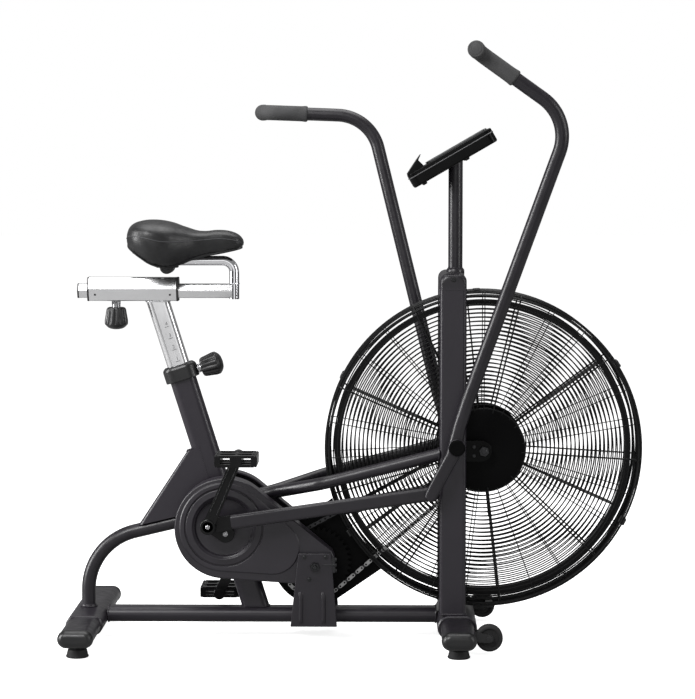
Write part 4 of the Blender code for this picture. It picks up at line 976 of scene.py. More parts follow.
def build_chain(name, first, second, y, node):
    """A roller chain: waisted plates and pins, with the upper run's plates darkened as painted
    shade.
    """
    points = belt_path(first, second)
    outers, inner_and_shaded, pins = bmesh.new(), bmesh.new(), bmesh.new()
    for k, point in enumerate(points):
        ahead = points[(k + 1) % len(points)]
        inner = k % 2 == 0
        # Plates on the upper run take the dark metal as painted shade.
        in_painted_shade = rises_above(point, first[0], second[0])
        half = 0.0021 if inner else 0.0032
        reach = 0.0036 if inner else 0.0042
        ends = [((point.x, point.z), reach), ((ahead.x, ahead.z), reach)]
        outline = hull(ends, 16)
        middle = ((point.x + ahead.x) / 2, (point.z + ahead.z) / 2)
        waist = []
        for x, z in outline:
            off = hypot(x - middle[0], z - middle[1])
            pull = 0.74 if off < 0.0052 else 1.0
            waist.append((middle[0] + (x - middle[0]) * pull, middle[1] + (z - middle[1]) * pull))
        for face in (-1, 1):
            low, high = sorted((y + face * half, y + face * (half + 0.0008)))
            slab(inner_and_shaded if inner or in_painted_shade else outers, waist, low, high)
        for reach, radius in ((0.0044, 0.0023), (0.0021, 0.003)):
            turned(pins, ((y - reach, radius), (y + reach, radius)), point, ACROSS, 10)
    piece(name + "_outer_plates", outers, CHAIN_METAL, "frame", [node])
    # The dark piece holds the inner plates and the upper run's plates darkened as painted shade.
    piece(name + "_inner_and_shaded_plates", inner_and_shaded, DARK_METAL, "frame")
    piece(name + "_pins", pins, BLACK, "frame")


def build_jackshaft():
    """The shaft with both sprockets, their hubs and the nuts outside the brackets."""
    bm = bmesh.new()
    turned(bm, ((-0.0965, 0.0082), (0.0965, 0.0082)), at(JACK), ACROSS, 32)
    turned(bm, ((-0.0268, 0.01), (-0.0268, 0.018), (-0.0228, 0.012), (-0.0228, 0.01)),
           at(JACK), ACROSS, 40, closed=True)
    sprocket(bm, JACK, 16, JACK_FIRST_RADIUS, FIRST_CHAIN_Y)
    sprocket(bm, JACK, 38, JACK_SECOND_RADIUS, SECOND_CHAIN_Y)
    for y in (FIRST_CHAIN_Y, SECOND_CHAIN_Y):
        turned(bm, ((y - 0.0016, 0.0081), (y - 0.0016, 0.0125), (y + 0.0016, 0.0125),
                    (y + 0.0016, 0.0081)), at(JACK), ACROSS, 32, closed=True)
    piece("jackshaft_skin", bm, BLACK, "jackshaft", ["jackshaft"])
    bm = bmesh.new()
    for sign in SIDES.values():
        nut(bm, at(JACK, sign * 0.0966), ACROSS * sign, 0.0108, 0.007)
        turned(bm, ((0.1032, 0.0056), (0.106, 0.0056), (0.1076, 0.0044)), at(JACK),
               ACROSS * sign, 20)
    piece("jackshaft_nuts", bm, DARK_METAL, "jackshaft")


def build_chainring():
    """The large sprocket on its hub."""
    bm = bmesh.new()
    sprocket(bm, CRANK, 48, RING_RADIUS, FIRST_CHAIN_Y)
    turned(bm, ((-0.0648, 0.011), (-0.0648, 0.03), (-0.061, 0.03), (-0.06, 0.024),
                (-0.048, 0.024), (-0.048, 0.011)), at(CRANK), ACROSS, 48, closed=True)
    piece("chainring_skin", bm, DARK_METAL, "crank", ["chainring"])


COVER_CENTRE = (-0.291, 0.261)
COVER_POINTS = 144


def build_chain_cover(side):
    """The moulded tray: a raised panel, a groove and a cup round the crank."""
    sign = SIDES[side]
    outline = hull([((-0.289, 0.258), 0.113), (JACK, 0.043), ((-0.062, 0.195), 0.017)], 240)
    panel = hull([(COVER_CENTRE, 0.0985), ((-0.183, 0.216), 0.06)], 240)
    angles = [2 * pi * i / COVER_POINTS for i in range(COVER_POINTS)]
    edge = [distance_to(outline, COVER_CENTRE, a) for a in angles]
    ridge = [distance_to(panel, COVER_CENTRE, a) for a in angles]

    def ring(reaches, y, inset=0.0):
        return [at(around(COVER_CENTRE, r - inset, a), sign * y) for r, a in zip(reaches, angles)]

    def disc(radius, y, centre=COVER_CENTRE):
        return [at(around(centre, radius, a), sign * y) for a in angles]

    rings = [ring(edge, 0.04)]
    rings += [ring(edge, 0.0805 + 0.0045 * sin(a), 0.0045 * (1 - cos(a))) for a in arc(5)]
    rings += [ring(ridge, y, inset) for y, inset in
              ((0.085, -0.0016), (0.0857, -0.0006), (0.0873, 0.001), (0.0878, 0.0022))]
    rings += [disc(r, y) for r, y in
              ((0.0895, 0.0878), (0.0882, 0.0874), (0.0872, 0.0852), (0.0856, 0.0852),
               (0.0846, 0.0872), (0.0832, 0.0878), (0.076, 0.0882), (0.0732, 0.089),
               (0.0716, 0.089), (0.0702, 0.0882), (0.068, 0.0862), (0.0665, 0.0858),
               (0.065, 0.085), (0.0635, 0.08), (0.062, 0.0788), (0.05, 0.0782))]
    rings += [disc(0.022, 0.078, CRANK), disc(0.017, 0.078, CRANK), disc(0.017, 0.0752, CRANK),
              disc(0.022, 0.0752, CRANK), disc(0.06, 0.0755), disc(0.085, 0.0815)]
    rings += [ring(edge, 0.0815, 0.0105), ring(edge, 0.079, 0.0035), ring(edge, 0.04, 0.003)]
    bm = bmesh.new()
    loft(bm, rings, closed=True)
    piece(f"chain_cover_{side}_skin", bm, PLASTIC, "frame", [f"chain_cover_{side}"],
          sharp=50)


def build_jack_bracket(side):
    """The folded plate with pressed ribs, its foot and its small bolts."""
    sign = SIDES[side]
    corners = [(-0.143, 0.039), (-0.039, 0.039), (-0.052, 0.204), (-0.125, 0.204)]
    bm = bmesh.new()
    slab(bm, corners, *layer(side, 0.09, 0.0955))
    slab(bm, [(-0.138, 0.0392), (-0.044, 0.0392), (-0.044, 0.045), (-0.138, 0.045)],
         *layer(side, 0.0304, 0.092))
    piece(f"jack_bracket_{side}_skin", bm, PAINT, "frame", [f"jack_bracket_{side}"], bevel=0.0016)
    bm = bmesh.new()
    for x in (-0.1195, -0.069):
        rings = []
        for z, swell in ((0.044, 0.0), (0.05, 0.8), (0.056, 1.0), (0.102, 1.0),
                         (0.112, 0.7), (0.1185, 0.0)):
            rings.append([Vector((x + 0.005 * cos(a), sign * (0.095 + 0.0042 * swell * sin(a)), z))
                          for a in arc(10, 0.0, pi)])
        loft(bm, rings)
    piece(f"bracket_ribs_{side}", bm, PAINT, "frame")
    bm = bmesh.new()
    for x, z in ((-0.112, 0.196), (-0.101, 0.146), (-0.064, 0.196)):
        turned(bm, ((0.095, 0.0052), (0.0962, 0.0052), (0.0962, 0.004), (0.0986, 0.0038),
                    (0.0992, 0.0028), (0.0992, 0.0016), (0.0978, 0.0014)),
               at((x, z)), ACROSS * sign, 20)
    piece(f"bracket_bolts_{side}", bm, DARK_METAL, "frame")


def build_tensioner():
    """The long bolt that draws the jackshaft forward, with its block and nuts."""
    bm = bmesh.new()
    box(bm, Vector((-0.047, -0.0925, 0.178)), (0.008, 0.004, 0.034))
    turned(bm, ((-0.029, 0.003), (0.0, 0.003)), Vector((-0.042, -0.093, 0.178)), AHEAD, 14)
    for z in (0.166, 0.178, 0.19):
        nut(bm, Vector((-0.043, -0.093, z)), AHEAD, 0.0045, 0.0035)
    piece("chain_tensioner", bm, DARK_METAL, "frame", bevel=0.0006)


def build_chain_guard():
    """The plate behind the second chain, from round the jackshaft to the guard's rim."""
    radius = 0.0975
    heading = atan2(FAN[1] - JACK[1], FAN[0] - JACK[0])
    rim = 0.357
    spread = atan2(radius, sqrt(rim ** 2 - radius ** 2))
    outline = [around(JACK, radius, a) for a in arc(48, heading + pi / 2, pi)]
    outline += [around(FAN, rim, a) for a in arc(24, heading + pi + spread, -2 * spread)]
    bm = bmesh.new()
    slab(bm, outline, -0.0178, -0.0142)
    piece("chain_guard_skin", bm, BLACK, "frame", ["chain_guard"], bevel=0.0008)


# ---------------------------------------------------------------- linkage

def circle_meet(first, first_radius, second, second_radius):
    """The lower of the two points at the given distances from two pairs."""
    dx, dz = second[0] - first[0], second[1] - first[1]
    gap = hypot(dx, dz)
    along = (first_radius ** 2 - second_radius ** 2 + gap ** 2) / (2 * gap)
    across = sqrt(first_radius ** 2 - along ** 2)
    middle = (first[0] + dx * along / gap, first[1] + dz * along / gap)
    options = [(middle[0] + s * across * dz / gap, middle[1] - s * across * dx / gap)
               for s in (1, -1)]
    return min(options, key=lambda pair: pair[1])


def crank_pin(side):
    """Where the link turns on the crank."""
    return around(CRANK, -SIDES[side] * ECCENTRIC, ECCENTRIC_ANGLE)


def pedal_centre(side):
    """The pedal's axis; the two pedals stand opposite each other."""
    return around(CRANK, -SIDES[side] * PEDAL_RADIUS, pi / 2 - PEDAL_LEAD)


def lever_end(side):
    """Where the link meets the handle's lever."""
    return circle_meet(HANDLE_PIVOT, LEVER, crank_pin(side), LINK)


def lever_lag(side):
    """The lever's angle behind straight down."""
    end = lever_end(side)
    return atan2(HANDLE_PIVOT[0] - end[0], HANDLE_PIVOT[1] - end[1])


NEUTRAL_LAG = (lever_lag("right") + lever_lag("left")) / 2


def handle_point(side, pair, spread):
    """A point of the upright handle, swung to where the lever has it."""
    swing = lever_lag(side) - NEUTRAL_LAG
    x = HANDLE_PIVOT[0] + pair[0] * cos(swing) + pair[1] * sin(swing)
    z = HANDLE_PIVOT[1] - pair[0] * sin(swing) + pair[1] * cos(swing)
    return Vector((x, SIDES[side] * spread, z))


def build_cranks(side):
    """Inner crank with the link pin, outer arm with a sunk face, and silver bolts."""
    sign = SIDES[side]
    pin, pedal = crank_pin(side), pedal_centre(side)
    bm = bmesh.new()
    slab(bm, hull([(CRANK, 0.02), (pin, 0.016)], 64), *layer(side, 0.098, 0.111), 0.0025)
    turned(bm, ((0.108, 0.0078), (0.1356, 0.0078)), at(pin), ACROSS * sign, 32)
    piece(f"inner_crank_{side}_skin", bm, WIRE, "crank", [f"inner_crank_{side}"])

    bm = bmesh.new()
    slab(bm, hull([(pin, 0.0132), (pedal, 0.0118)], 72), *layer(side, 0.1362, 0.1495), 0.003)
    for centre, radius in ((pin, 0.0178), (pedal, 0.0134)):
        slab(bm, hull([(centre, radius)], 48), *layer(side, 0.136, 0.15), 0.0025)
    lean = Vector((pedal[0] - pin[0], 0, pedal[1] - pin[1])).normalized()
    low = (pin[0] + lean.x * 0.034, pin[1] + lean.z * 0.034)
    high = (pedal[0] - lean.x * 0.026, pedal[1] - lean.z * 0.026)
    for shift in (-0.0082, 0.0082):
        turn = lean.cross(ACROSS) * shift
        path = [at(low, sign * 0.1492) + turn, at(high, sign * 0.1492) + turn * 0.88]
        loft(bm, sweep_rings(path, [oval(0.0034, 0.0024, 0.001, 3)] * 2))
    turned(bm, ((0.1485, 0.0165), (0.151, 0.016), (0.1518, 0.0145), (0.1518, 0.0118),
                (0.15, 0.0112)), at(pin), ACROSS * sign, 48)
    turned(bm, ((0.1485, 0.0122), (0.1512, 0.0118), (0.152, 0.0104), (0.152, 0.007)),
           at(pedal), ACROSS * sign, 40)
    piece(f"crank_arm_{side}_skin", bm, GLOSS, "crank", [f"crank_arm_{side}"])

    bm = bmesh.new()
    turned(bm, ((0.1485, 0.0054), (0.1526, 0.0054), (0.1538, 0.0048), (0.1545, 0.0038),
                (0.1547, 0.0028), (0.1536, 0.0024), (0.1536, 0.001)), at(pin), ACROSS * sign, 32)
    turned(bm, ((0.11, 0.0062), (0.1125, 0.0062), (0.1136, 0.0054), (0.114, 0.0038),
                (0.1128, 0.003), (0.1128, 0.001)), at(CRANK), ACROSS * sign, 32)
    turned(bm, ((0.148, 0.0064), (0.252, 0.0064)), at(pedal), ACROSS * sign, 24)
    nut(bm, at(pedal, sign * 0.152), ACROSS * sign, 0.0086, 0.006)
    piece(f"crank_bolts_{side}", bm, BOLT_METAL, "crank")


def build_pedal(side):
    """A caged platform: end frames, toothed rails and the barrel on the spindle."""
    sign = SIDES[side]
    centre = pedal_centre(side)
    inner, outer = 0.1605, 0.2545
    bm = bmesh.new()
    middle = at(centre, sign * (inner + outer) / 2)
    span = outer - inner
    for x in (-0.0395, 0.0395):
        box(bm, middle + AHEAD * x, (0.013, span, 0.0225))
    for z in (-0.0098, 0.0098):
        for y in (inner + 0.006, (inner + outer) / 2, outer - 0.006):
            box(bm, at(centre, sign * y) + UP * z, (0.08, 0.011, 0.0062))
    box(bm, middle, (0.025, span, 0.0215))
    for k in range(9):
        y = inner + 0.006 + k * (span - 0.012) / 8
        for x in (-0.0425, -0.0365, 0.0365, 0.0425):
            for z in (-1, 1):
                box(bm, at(centre, sign * y) + AHEAD * x + UP * z * 0.0118,
                    (0.0028, 0.0046, 0.0022))
    piece(f"pedal_cage_{side}", bm, GLOSS, f"pedal_{side}", [f"pedal_{side}"],
          bevel=0.0007)
    bm = bmesh.new()
    turned(bm, ((inner - 0.001, 0.0071), (inner - 0.001, 0.0108), (inner + 0.002, 0.0118),
                (outer - 0.004, 0.0118), (outer - 0.001, 0.0108), (outer - 0.001, 0.001)),
           at(centre), ACROSS * sign, 32)
    piece(f"pedal_barrel_{side}", bm, GLOSS, f"pedal_{side}")
    bm = bmesh.new()
    for x in (-0.0461, 0.0461):
        box(bm, middle + AHEAD * x, (0.0016, span * 0.72, 0.012))
    piece(f"pedal_reflector_{side}", bm, GLASS, f"pedal_{side}",
          bevel=0.0004)


def build_link(side):
    """The push rod: a rounded bar with a block and an eye at its rear end."""
    sign = SIDES[side]
    pin, end = crank_pin(side), lever_end(side)
    along = (at(end) - at(pin)).normalized()
    y = sign * LINK_Y
    body = f"link_{side}"
    front = at(end, y)
    thick, tall, soft = 0.0156, 0.032, 0.0077
    rings = sweep_rings([at(pin, y) + along * 0.05, front + along * 0.006],
                        [oval(thick, tall, soft, 10)] * 2)
    for angle in arc(7)[1:7]:
        profile = oval(thick, tall * cos(angle) + 0.001, min(soft, tall / 2 * cos(angle)), 10)
        spot = front + along * (0.006 + 0.0102 * sin(angle))
        rings.append(sweep_rings([spot, spot + along * 0.001], [profile] * 2)[0])
    bm = bmesh.new()
    loft(bm, rings)
    piece(f"link_bar_{side}", bm, PAINT, body, [f"link_rod_{side}"])
    bm = bmesh.new()
    low, high = layer(side, 0.1162, 0.1318)
    turned(bm, ((low, 0.0158), (low + 0.0008, 0.0165), (high - 0.0008, 0.0165),
                (high, 0.0158), (high, 0.0086), (low, 0.0086)), at(pin), ACROSS, 48, closed=True)
    up = ACROSS.cross(along) * -1
    box(bm, at(pin, y) + along * 0.033, (0.036, 0.0152, 0.0326), along, up)
    piece(f"link_eye_{side}", bm, GLOSS, body, bevel=0.0008)
    bm = bmesh.new()
    turned(bm, ((0.1158, 0.008), (0.1322, 0.008), (0.1332, 0.007), (0.1336, 0.003)),
           at(end), ACROSS * sign, 24)
    piece(f"link_bolt_{side}", bm, BOLT_METAL, body)


# ---------------------------------------------------------------- handles

HANDLE_FOOT = (-0.0075, 0.1015)
HANDLE_CORNER = (0.0251, 0.7535)
HANDLE_END = (-0.2166, 0.8359)
LEVER_Y = 0.144
CORNER_Y = 0.221
END_Y = 0.226
GRIP_LENGTH = 0.109


def back_from_end(distance):
    """The pair at a distance before the end of the handle's upper run."""
    dx, dz = HANDLE_END[0] - HANDLE_CORNER[0], HANDLE_END[1] - HANDLE_CORNER[1]
    length = hypot(dx, dz)
    return (HANDLE_END[0] - dx / length * distance, HANDLE_END[1] - dz / length * distance)


def grip_path(side, start):
    """The handle's line from a point on its straight run to its tip, which turns outward."""
    elbow = handle_point(side, back_from_end(0.013), END_Y)
    along = (elbow - handle_point(side, HANDLE_CORNER, CORNER_Y)).normalized()
    lean = radians(75)
    tip = elbow + (along * cos(lean) + ACROSS * SIDES[side] * sin(lean)) * 0.04
    return rounded_path([elbow - along * start, elbow, tip], 0.03, 10)


def build_handle(side):
    """The bent tube with its lever and boss, the grip and the pivot's cap."""
    sign = SIDES[side]

    def below(distance):
        return (-distance * sin(NEUTRAL_LAG), -distance * cos(NEUTRAL_LAG))

    outer = grip_path(side, GRIP_LENGTH / 2)
    back = (outer[-2] - outer[-1]).normalized()
    outer[-1] = outer[-1] + back * 0.008
    upper = rounded_path([handle_point(side, HANDLE_FOOT, LEVER_Y + 0.009),
                          handle_point(side, HANDLE_CORNER, CORNER_Y), outer[0]], 0.1, 16)
    lever = ((LEVER + 0.0135, 0.0, (0.01, 0.008, 0.0038)),
             (LEVER + 0.013, 0.0, (0.014, 0.016, 0.006)),
             (LEVER + 0.01, 0.0, (0.0156, 0.024, 0.007)),
             (LEVER, 0.0, (0.0158, 0.028, 0.007)),
             (LEVER - 0.03, 0.0, (0.0158, 0.029, 0.007)),
             (0.02, 0.005, (0.022, 0.031, 0.01)))
    path = [handle_point(side, below(reach), LEVER_Y + out) for reach, out, _ in lever]
    path.append(handle_point(side, (-0.008, 0.045), LEVER_Y + 0.0065))
    shapes = [shape for _, _, shape in lever] + [(0.027, 0.03, 0.013)]
    profiles = [oval(*shape, steps=8) for shape in shapes]
    round_shape = oval(0.03, 0.03, 0.01499, 8)
    profiles += [round_shape] * (len(upper) + len(outer) - 1)
    bm = bmesh.new()
    loft(bm, sweep_rings(path + upper + outer[1:], profiles))
    turned(bm, ((0.1364, 0.009), (0.1364, 0.018), (0.1374, 0.019), (0.1655, 0.0192),
                (0.1668, 0.0188), (0.1674, 0.018), (0.167, 0.0171), (0.166, 0.0168),
                (0.166, 0.009)), at(HANDLE_PIVOT), ACROSS * sign, 48, closed=True)
    piece(f"handle_tube_{side}", bm, PAINT, f"handle_{side}", [f"handle_{side}"], sharp=60)
    build_grip(side)
    bm = bmesh.new()
    turned(bm, ((0.1125, 0.018), (0.1345, 0.018), (0.1352, 0.0172), (0.1352, 0.0082),
                (0.1668, 0.0082), (0.1668, 0.0166), (0.17, 0.0166), (0.1712, 0.0158),
                (0.1716, 0.0144), (0.1712, 0.0124), (0.1714, 0.002)), at(HANDLE_PIVOT),
           ACROSS * sign, 48)
    piece(f"pivot_cap_{side}", bm, BLACK, "frame", [f"handle_axle_{side}"])


def build_grip(side):
    """A rubber sleeve with an open cuff, ending in a ringed knob."""
    path = grip_path(side, GRIP_LENGTH - 0.013)
    first = path[0]
    along = (path[1] - first).normalized()
    path = [first, first + along * 0.002, first + along * 0.004] + \
           [first + along * (0.012 + 0.009 * k) for k in range(6)] + path[1:]
    radii = [0.0166, 0.0182, 0.0186, 0.0178] + [0.0176] * (len(path) - 4)
    for k, radius in ((-1, 0.0187), (-2, 0.0186), (-3, 0.0183), (-4, 0.0179)):
        radii[k] = radius
    rings = sweep_rings(path, [circle(r, 40) for r in radii])
    tip = path[-1]
    onward = (path[-1] - path[-2]).normalized()
    last = rings[-1]
    for rise, radius in ((0.002, 0.0184), (0.0038, 0.017), (0.0044, 0.015), (0.004, 0.0138),
                         (0.0048, 0.0126), (0.0054, 0.0104), (0.005, 0.009), (0.0056, 0.0076),
                         (0.0059, 0.0046), (0.006, 0.0012)):
        scale = radius / 0.0187
        rings.append([tip + (p - tip) * scale + onward * rise for p in last])
    bm = bmesh.new()
    loft(bm, rings)
    piece(f"grip_{side}_skin", bm, GRIP_RUBBER, f"handle_{side}", [f"grip_{side}"])


# ---------------------------------------------------------------- seat

def build_post():
    """The flat-oval post with a numbered scale."""
    top = Vector((0, 0, SLIDE_Z - 0.0269))
    profile = oval(0.028, 0.051, 0.0139, 12)
    low = placed(profile, on_seat_axis(-0.19), ACROSS, -SEAT_FORWARD)
    high = trimmed(placed(profile, on_seat_axis(0.1), ACROSS, -SEAT_FORWARD), SEAT_UP, top, UP)
    bm = bmesh.new()
    loft(bm, [low, high])
    weld(bm, [p - UP * 0.001 for p in high], 0.0016)
    piece("seat_post_skin", bm, STEEL, "seat_post", ["seat_post"])
    bm = bmesh.new()
    for sign in SIDES.values():
        for k in range(4):
            spot = on_seat_axis(0.034 + k * 0.027, 0.003) + ACROSS * sign * POST_FACE_Y
            box(bm, spot, (0.01, 0.0004, 0.0014), SEAT_FORWARD, SEAT_UP)
    piece("post_ticks", bm, MARKS, "seat_post")
    for k in range(4):
        digit(str(k + 1), on_seat_axis(0.037 + k * 0.027, 0.0005))


def digit(text, spot):
    """A small scale number on the post's right face."""
    curve = bpy.data.curves.new("scale_number_" + text, "FONT")
    curve.body = text
    curve.size = 0.012
    curve.extrude = 0.00012
    curve.resolution_u = 4
    obj = bpy.data.objects.new("scale_number_" + text, curve)
    bpy.context.scene.collection.objects.link(obj)
    obj.location = spot - ACROSS * POST_FACE_Y
    obj.rotation_euler = (pi / 2, -SEAT_TILT, 0)
    bpy.context.view_layer.update()
    mesh = bpy.data.meshes.new_from_object(obj)
    mesh.transform(obj.matrix_world)
    bpy.data.objects.remove(obj)
    bm = bmesh.new()
    bm.from_mesh(mesh)
    piece("scale_digit_" + text, bm, MARKS, "seat_post")


def build_collar():
    """The moulded sleeve with a stepped foot and softened top."""
    hole = (0.0295, 0.0525)
    sizes = (((0.05, 0.076), -0.0096), ((0.052, 0.078), -0.0085), ((0.052, 0.078), 0.016),
             ((0.051, 0.077), 0.019), ((0.047, 0.073), 0.0225), ((0.043, 0.067), 0.025),
             ((0.04, 0.064), 0.026), (hole, 0.026), (hole, -0.0096))
    bm = bmesh.new()
    loft(bm, [seat_ring(size, distance, 12) for size, distance in sizes], closed=True)
    piece("seat_collar_skin", bm, TRIM, "frame", ["seat_collar"])


def build_knob(name, origin, axis, face, neck, pin_tip, body):
    """A pull knob: steel pin and housing, and a fluted grip with a domed end."""
    bm = bmesh.new()
    foot = face + neck
    turned(bm, ((pin_tip, 0.005), (face, 0.005)), origin, axis, 24)
    turned(bm, ((face, 0.006), (face, 0.0095), (foot + 0.001, 0.0095)), origin, axis, 32)
    nut(bm, origin + axis * face, axis, 0.0108, neck * 0.6)
    piece(name + "_housing", bm, BOLT_METAL, body)
    side = axis.orthogonal().normalized()
    up = axis.cross(side)
    tip = foot + KNOB_LENGTH
    stations = ((foot, 0.017, 0), (foot + 0.0015, 0.02, 0.2), (foot + 0.005, 0.0222, 0.8),
                (foot + 0.018, 0.0243, 1.0), (tip - 0.02, 0.0263, 1.0),
                (tip - 0.0135, 0.0262, 0.7), (tip - 0.0115, 0.0256, 0.0),
                (tip - 0.0105, 0.025, 0), (tip - 0.01, 0.024, 0), (tip - 0.0075, 0.0222, 0),
                (tip - 0.004, 0.0182, 0), (tip - 0.0015, 0.0128, 0), (tip - 0.0002, 0.006, 0))
    rings = []
    for rise, radius, flute in stations:
        ring = []
        for k in range(96):
            angle = 2 * pi * k / 96
            cut = 0.0024 * flute * (0.5 - 0.5 * cos(angle * 12)) ** 2
            ring.append(origin + axis * rise
                        + (side * cos(angle) + up * sin(angle)) * (radius - cut))
        rings.append(ring)
    bm = bmesh.new()
    loft(bm, rings)
    piece(name + "_grip", bm, TRIM, body, [name])


def hexagon(size, soft, steps=4):
    """The slide's faceted section with softened ridges."""
    half_width, half_height = size[0] / 2, size[1] / 2
    flat = half_width * 0.62
    corners = [Vector(c) for c in ((half_width, 0), (flat, half_height), (-flat, half_height),
                                   (-half_width, 0), (-flat, -half_height), (flat, -half_height))]
    points = []
    for k, corner in enumerate(corners):
        before = corner + (corners[k - 1] - corner).normalized() * soft
        after = corner + (corners[(k + 1) % 6] - corner).normalized() * soft
        for step in range(steps + 1):
            t = step / steps
            point = before * (1 - t) ** 2 + corner * (2 * t * (1 - t)) + after * t ** 2
            points.append((point.x, point.y))
    return points


def hex_rings(size, z, ends, soft=0.003):
    """The faceted section at each of the given places along the slide."""
    return [placed(hexagon(size, soft), at((x, z)), ACROSS, UP) for x in ends]


def build_slide():
    """The polished faceted tube with dark end rims and two small screws."""
    outer = hex_rings((0.056, 0.053), SLIDE_Z, (SLIDE_X[0] + 0.004, SLIDE_X[1] - 0.004))
    inner = hex_rings((0.0394, 0.0334), INNER_SLIDE_Z, (SLIDE_X[1] - 0.004, SLIDE_X[0] + 0.004))
    bm = bmesh.new()
    loft(bm, outer + inner, closed=True)
    piece("slide_tube_skin", bm, SLIDE_STEEL, "seat_post", ["slide_outer"])
    bm = bmesh.new()
    for x, way in ((SLIDE_X[0], 1), (SLIDE_X[1], -1)):
        rings = hex_rings((0.0566, 0.0536), SLIDE_Z, (x + way * 0.0042, x + way * 0.001))
        rings += hex_rings((0.0552, 0.0522), SLIDE_Z, (x,))
        rings += hex_rings((0.0392, 0.0332), INNER_SLIDE_Z, (x, x + way * 0.0042))
        loft(bm, rings, closed=True)
    piece("slide_rims", bm, TRIM, "seat_post")
    bm = bmesh.new()
    facet = Vector((0, -0.84, -0.54)).normalized()
    for x in (-0.414, -0.582):
        spot = Vector((x, -0.0232, SLIDE_Z - 0.012))
        turned(bm, ((-0.002, 0.0024), (0.0006, 0.0024), (0.001, 0.0018)), spot, facet, 16)
    piece("slide_screws", bm, DARK_METAL, "seat_post")


def build_saddle_slide():
    """The inner faceted tube, capped at its rear, with the bent chrome bar."""
    bm = bmesh.new()
    loft(bm, hex_rings((0.038, 0.032), INNER_SLIDE_Z, (-0.619, BAR_X - 0.004), 0.0025))
    piece("inner_slide_skin", bm, SLIDE_STEEL, "saddle")
    bm = bmesh.new()
    rings = hex_rings((0.0384, 0.0324), INNER_SLIDE_Z, (-0.619, -0.6225), 0.0025)
    rings += hex_rings((0.035, 0.029), INNER_SLIDE_Z, (-0.623,), 0.0025)
    loft(bm, rings)
    piece("inner_slide_plug", bm, TRIM, "saddle")
    path = rounded_path([at((BAR_X, INNER_SLIDE_Z - 0.0185)), at((BAR_X, BAR_Z)),
                         at((CLAMP[0] + 0.0244, BAR_Z))], 0.026, 20)
    bm = bmesh.new()
    tube(bm, path, 0.011, 36)
    weld(bm, placed(circle(0.0112, 24), at((BAR_X, INNER_SLIDE_Z + 0.016)), AHEAD, ACROSS),
         0.0014)
    piece("saddle_bar", bm, CHROME, "saddle", ["saddle_slide"])


def build_clamp():
    """The seat clamp: a block, the cross barrel and its nuts, and two rails."""
    bm = bmesh.new()
    box(bm, Vector((CLAMP[0], 0, 0.8552)), (0.048, 0.03, 0.0385))
    turned(bm, both_ways(((-0.032, 0.01), (-0.0312, 0.0135), (-0.029, 0.0152),
                          (-0.025, 0.0155))), at(CLAMP), ACROSS, 48)
    piece("saddle_clamp_skin", bm, TRIM, "saddle", ["saddle_clamp"],
          bevel=0.0015)
    bm = bmesh.new()
    for sign in SIDES.values():
        nut(bm, at(CLAMP, sign * 0.0318), ACROSS * sign, 0.007, 0.005)
    piece("clamp_bolt", bm, DARK_METAL, "saddle")
    bm = bmesh.new()
    for sign in SIDES.values():
        path = rounded_path([Vector((-0.495, sign * 0.03, 0.872)),
                             Vector((-0.47, sign * 0.022, 0.856)),
                             Vector((-0.36, sign * 0.02, 0.8585)),
                             Vector((-0.295, sign * 0.01, 0.88))], 0.02, 8)
        tube(bm, path, 0.0034, 14)
    piece("saddle_rails", bm, CHROME, "saddle")


# x, half width, crown z, seam z, hem z
SADDLE_STATIONS = (
    (-0.5088, 0.034, 0.909, 0.901, 0.893),
    (-0.5068, 0.052, 0.92, 0.904, 0.885),
    (-0.501, 0.07, 0.931, 0.908, 0.879),
    (-0.488, 0.088, 0.94, 0.9085, 0.869),
    (-0.472, 0.098, 0.944, 0.9065, 0.858),
    (-0.456, 0.102, 0.945, 0.9035, 0.848),
    (-0.435, 0.1005, 0.944, 0.8985, 0.8405),
    (-0.41, 0.092, 0.939, 0.896, 0.839),
    (-0.385, 0.074, 0.93, 0.896, 0.846),
    (-0.36, 0.056, 0.921, 0.8975, 0.856),
    (-0.335, 0.046, 0.9185, 0.8995, 0.863),
    (-0.31, 0.042, 0.921, 0.9015, 0.867),
    (-0.285, 0.039, 0.92, 0.901, 0.872),
    (-0.265, 0.033, 0.913, 0.897, 0.8765),
    (-0.254, 0.024, 0.904, 0.892, 0.88),
    (-0.2492, 0.012, 0.895, 0.888, 0.883),
)


def catmull(values, t):
    """A smooth value through evenly indexed samples."""
    i = min(int(t), len(values) - 2)
    f = t - i
    p0, p1 = values[max(i - 1, 0)], values[i]
    p2, p3 = values[i + 1], values[min(i + 2, len(values) - 1)]
    return 0.5 * (2 * p1 + (p2 - p0) * f + (2 * p0 - 5 * p1 + 4 * p2 - p3) * f * f
                  + (3 * p1 - p0 - 3 * p2 + p3) * f ** 3)


def saddle_station(t):
    """x, half width, crown, seam and hem at a place between stations."""
    return [catmull([row[k] for row in SADDLE_STATIONS], t) for k in range(5)]


def saddle_section(t):
    """One cross-section: crowned top with a shallow channel, bulged side and tucked hem."""
    x, half, crown, seam, hem = saddle_station(t)
    points = []
    share = t / (len(SADDLE_STATIONS) - 1)
    dip = 0.0045 * max(0.0, sin(pi * min(1.0, share * 1.15)))
    for step in range(25):
        angle = pi * step / 24
        across = -half * 0.97 * cos(angle)
        lift = sin(angle) ** 0.72
        channel = dip * max(0.0, 1 - (across / (half * 0.3)) ** 2) ** 2
        points.append((across, seam + (crown - seam) * lift - channel))
    side = []
    for step in range(1, 9):
        turn = step / 9
        bulge = 1.0 + 0.035 * sin(pi * turn)
        narrow = 1 - 0.24 * turn ** 1.8
        side.append((half * 0.97 * bulge * narrow, seam + (hem - seam) * turn))
    tuck = [(half * 0.8, hem + 0.0002), (half * 0.72, hem + 0.003),
            (half * 0.6, hem + (crown - hem) * 0.3)]
    right = side + tuck
    left = [(-y, z) for y, z in reversed(right)]
    ring = points + right + left
    return [Vector((x, y, z)) for y, z in ring]


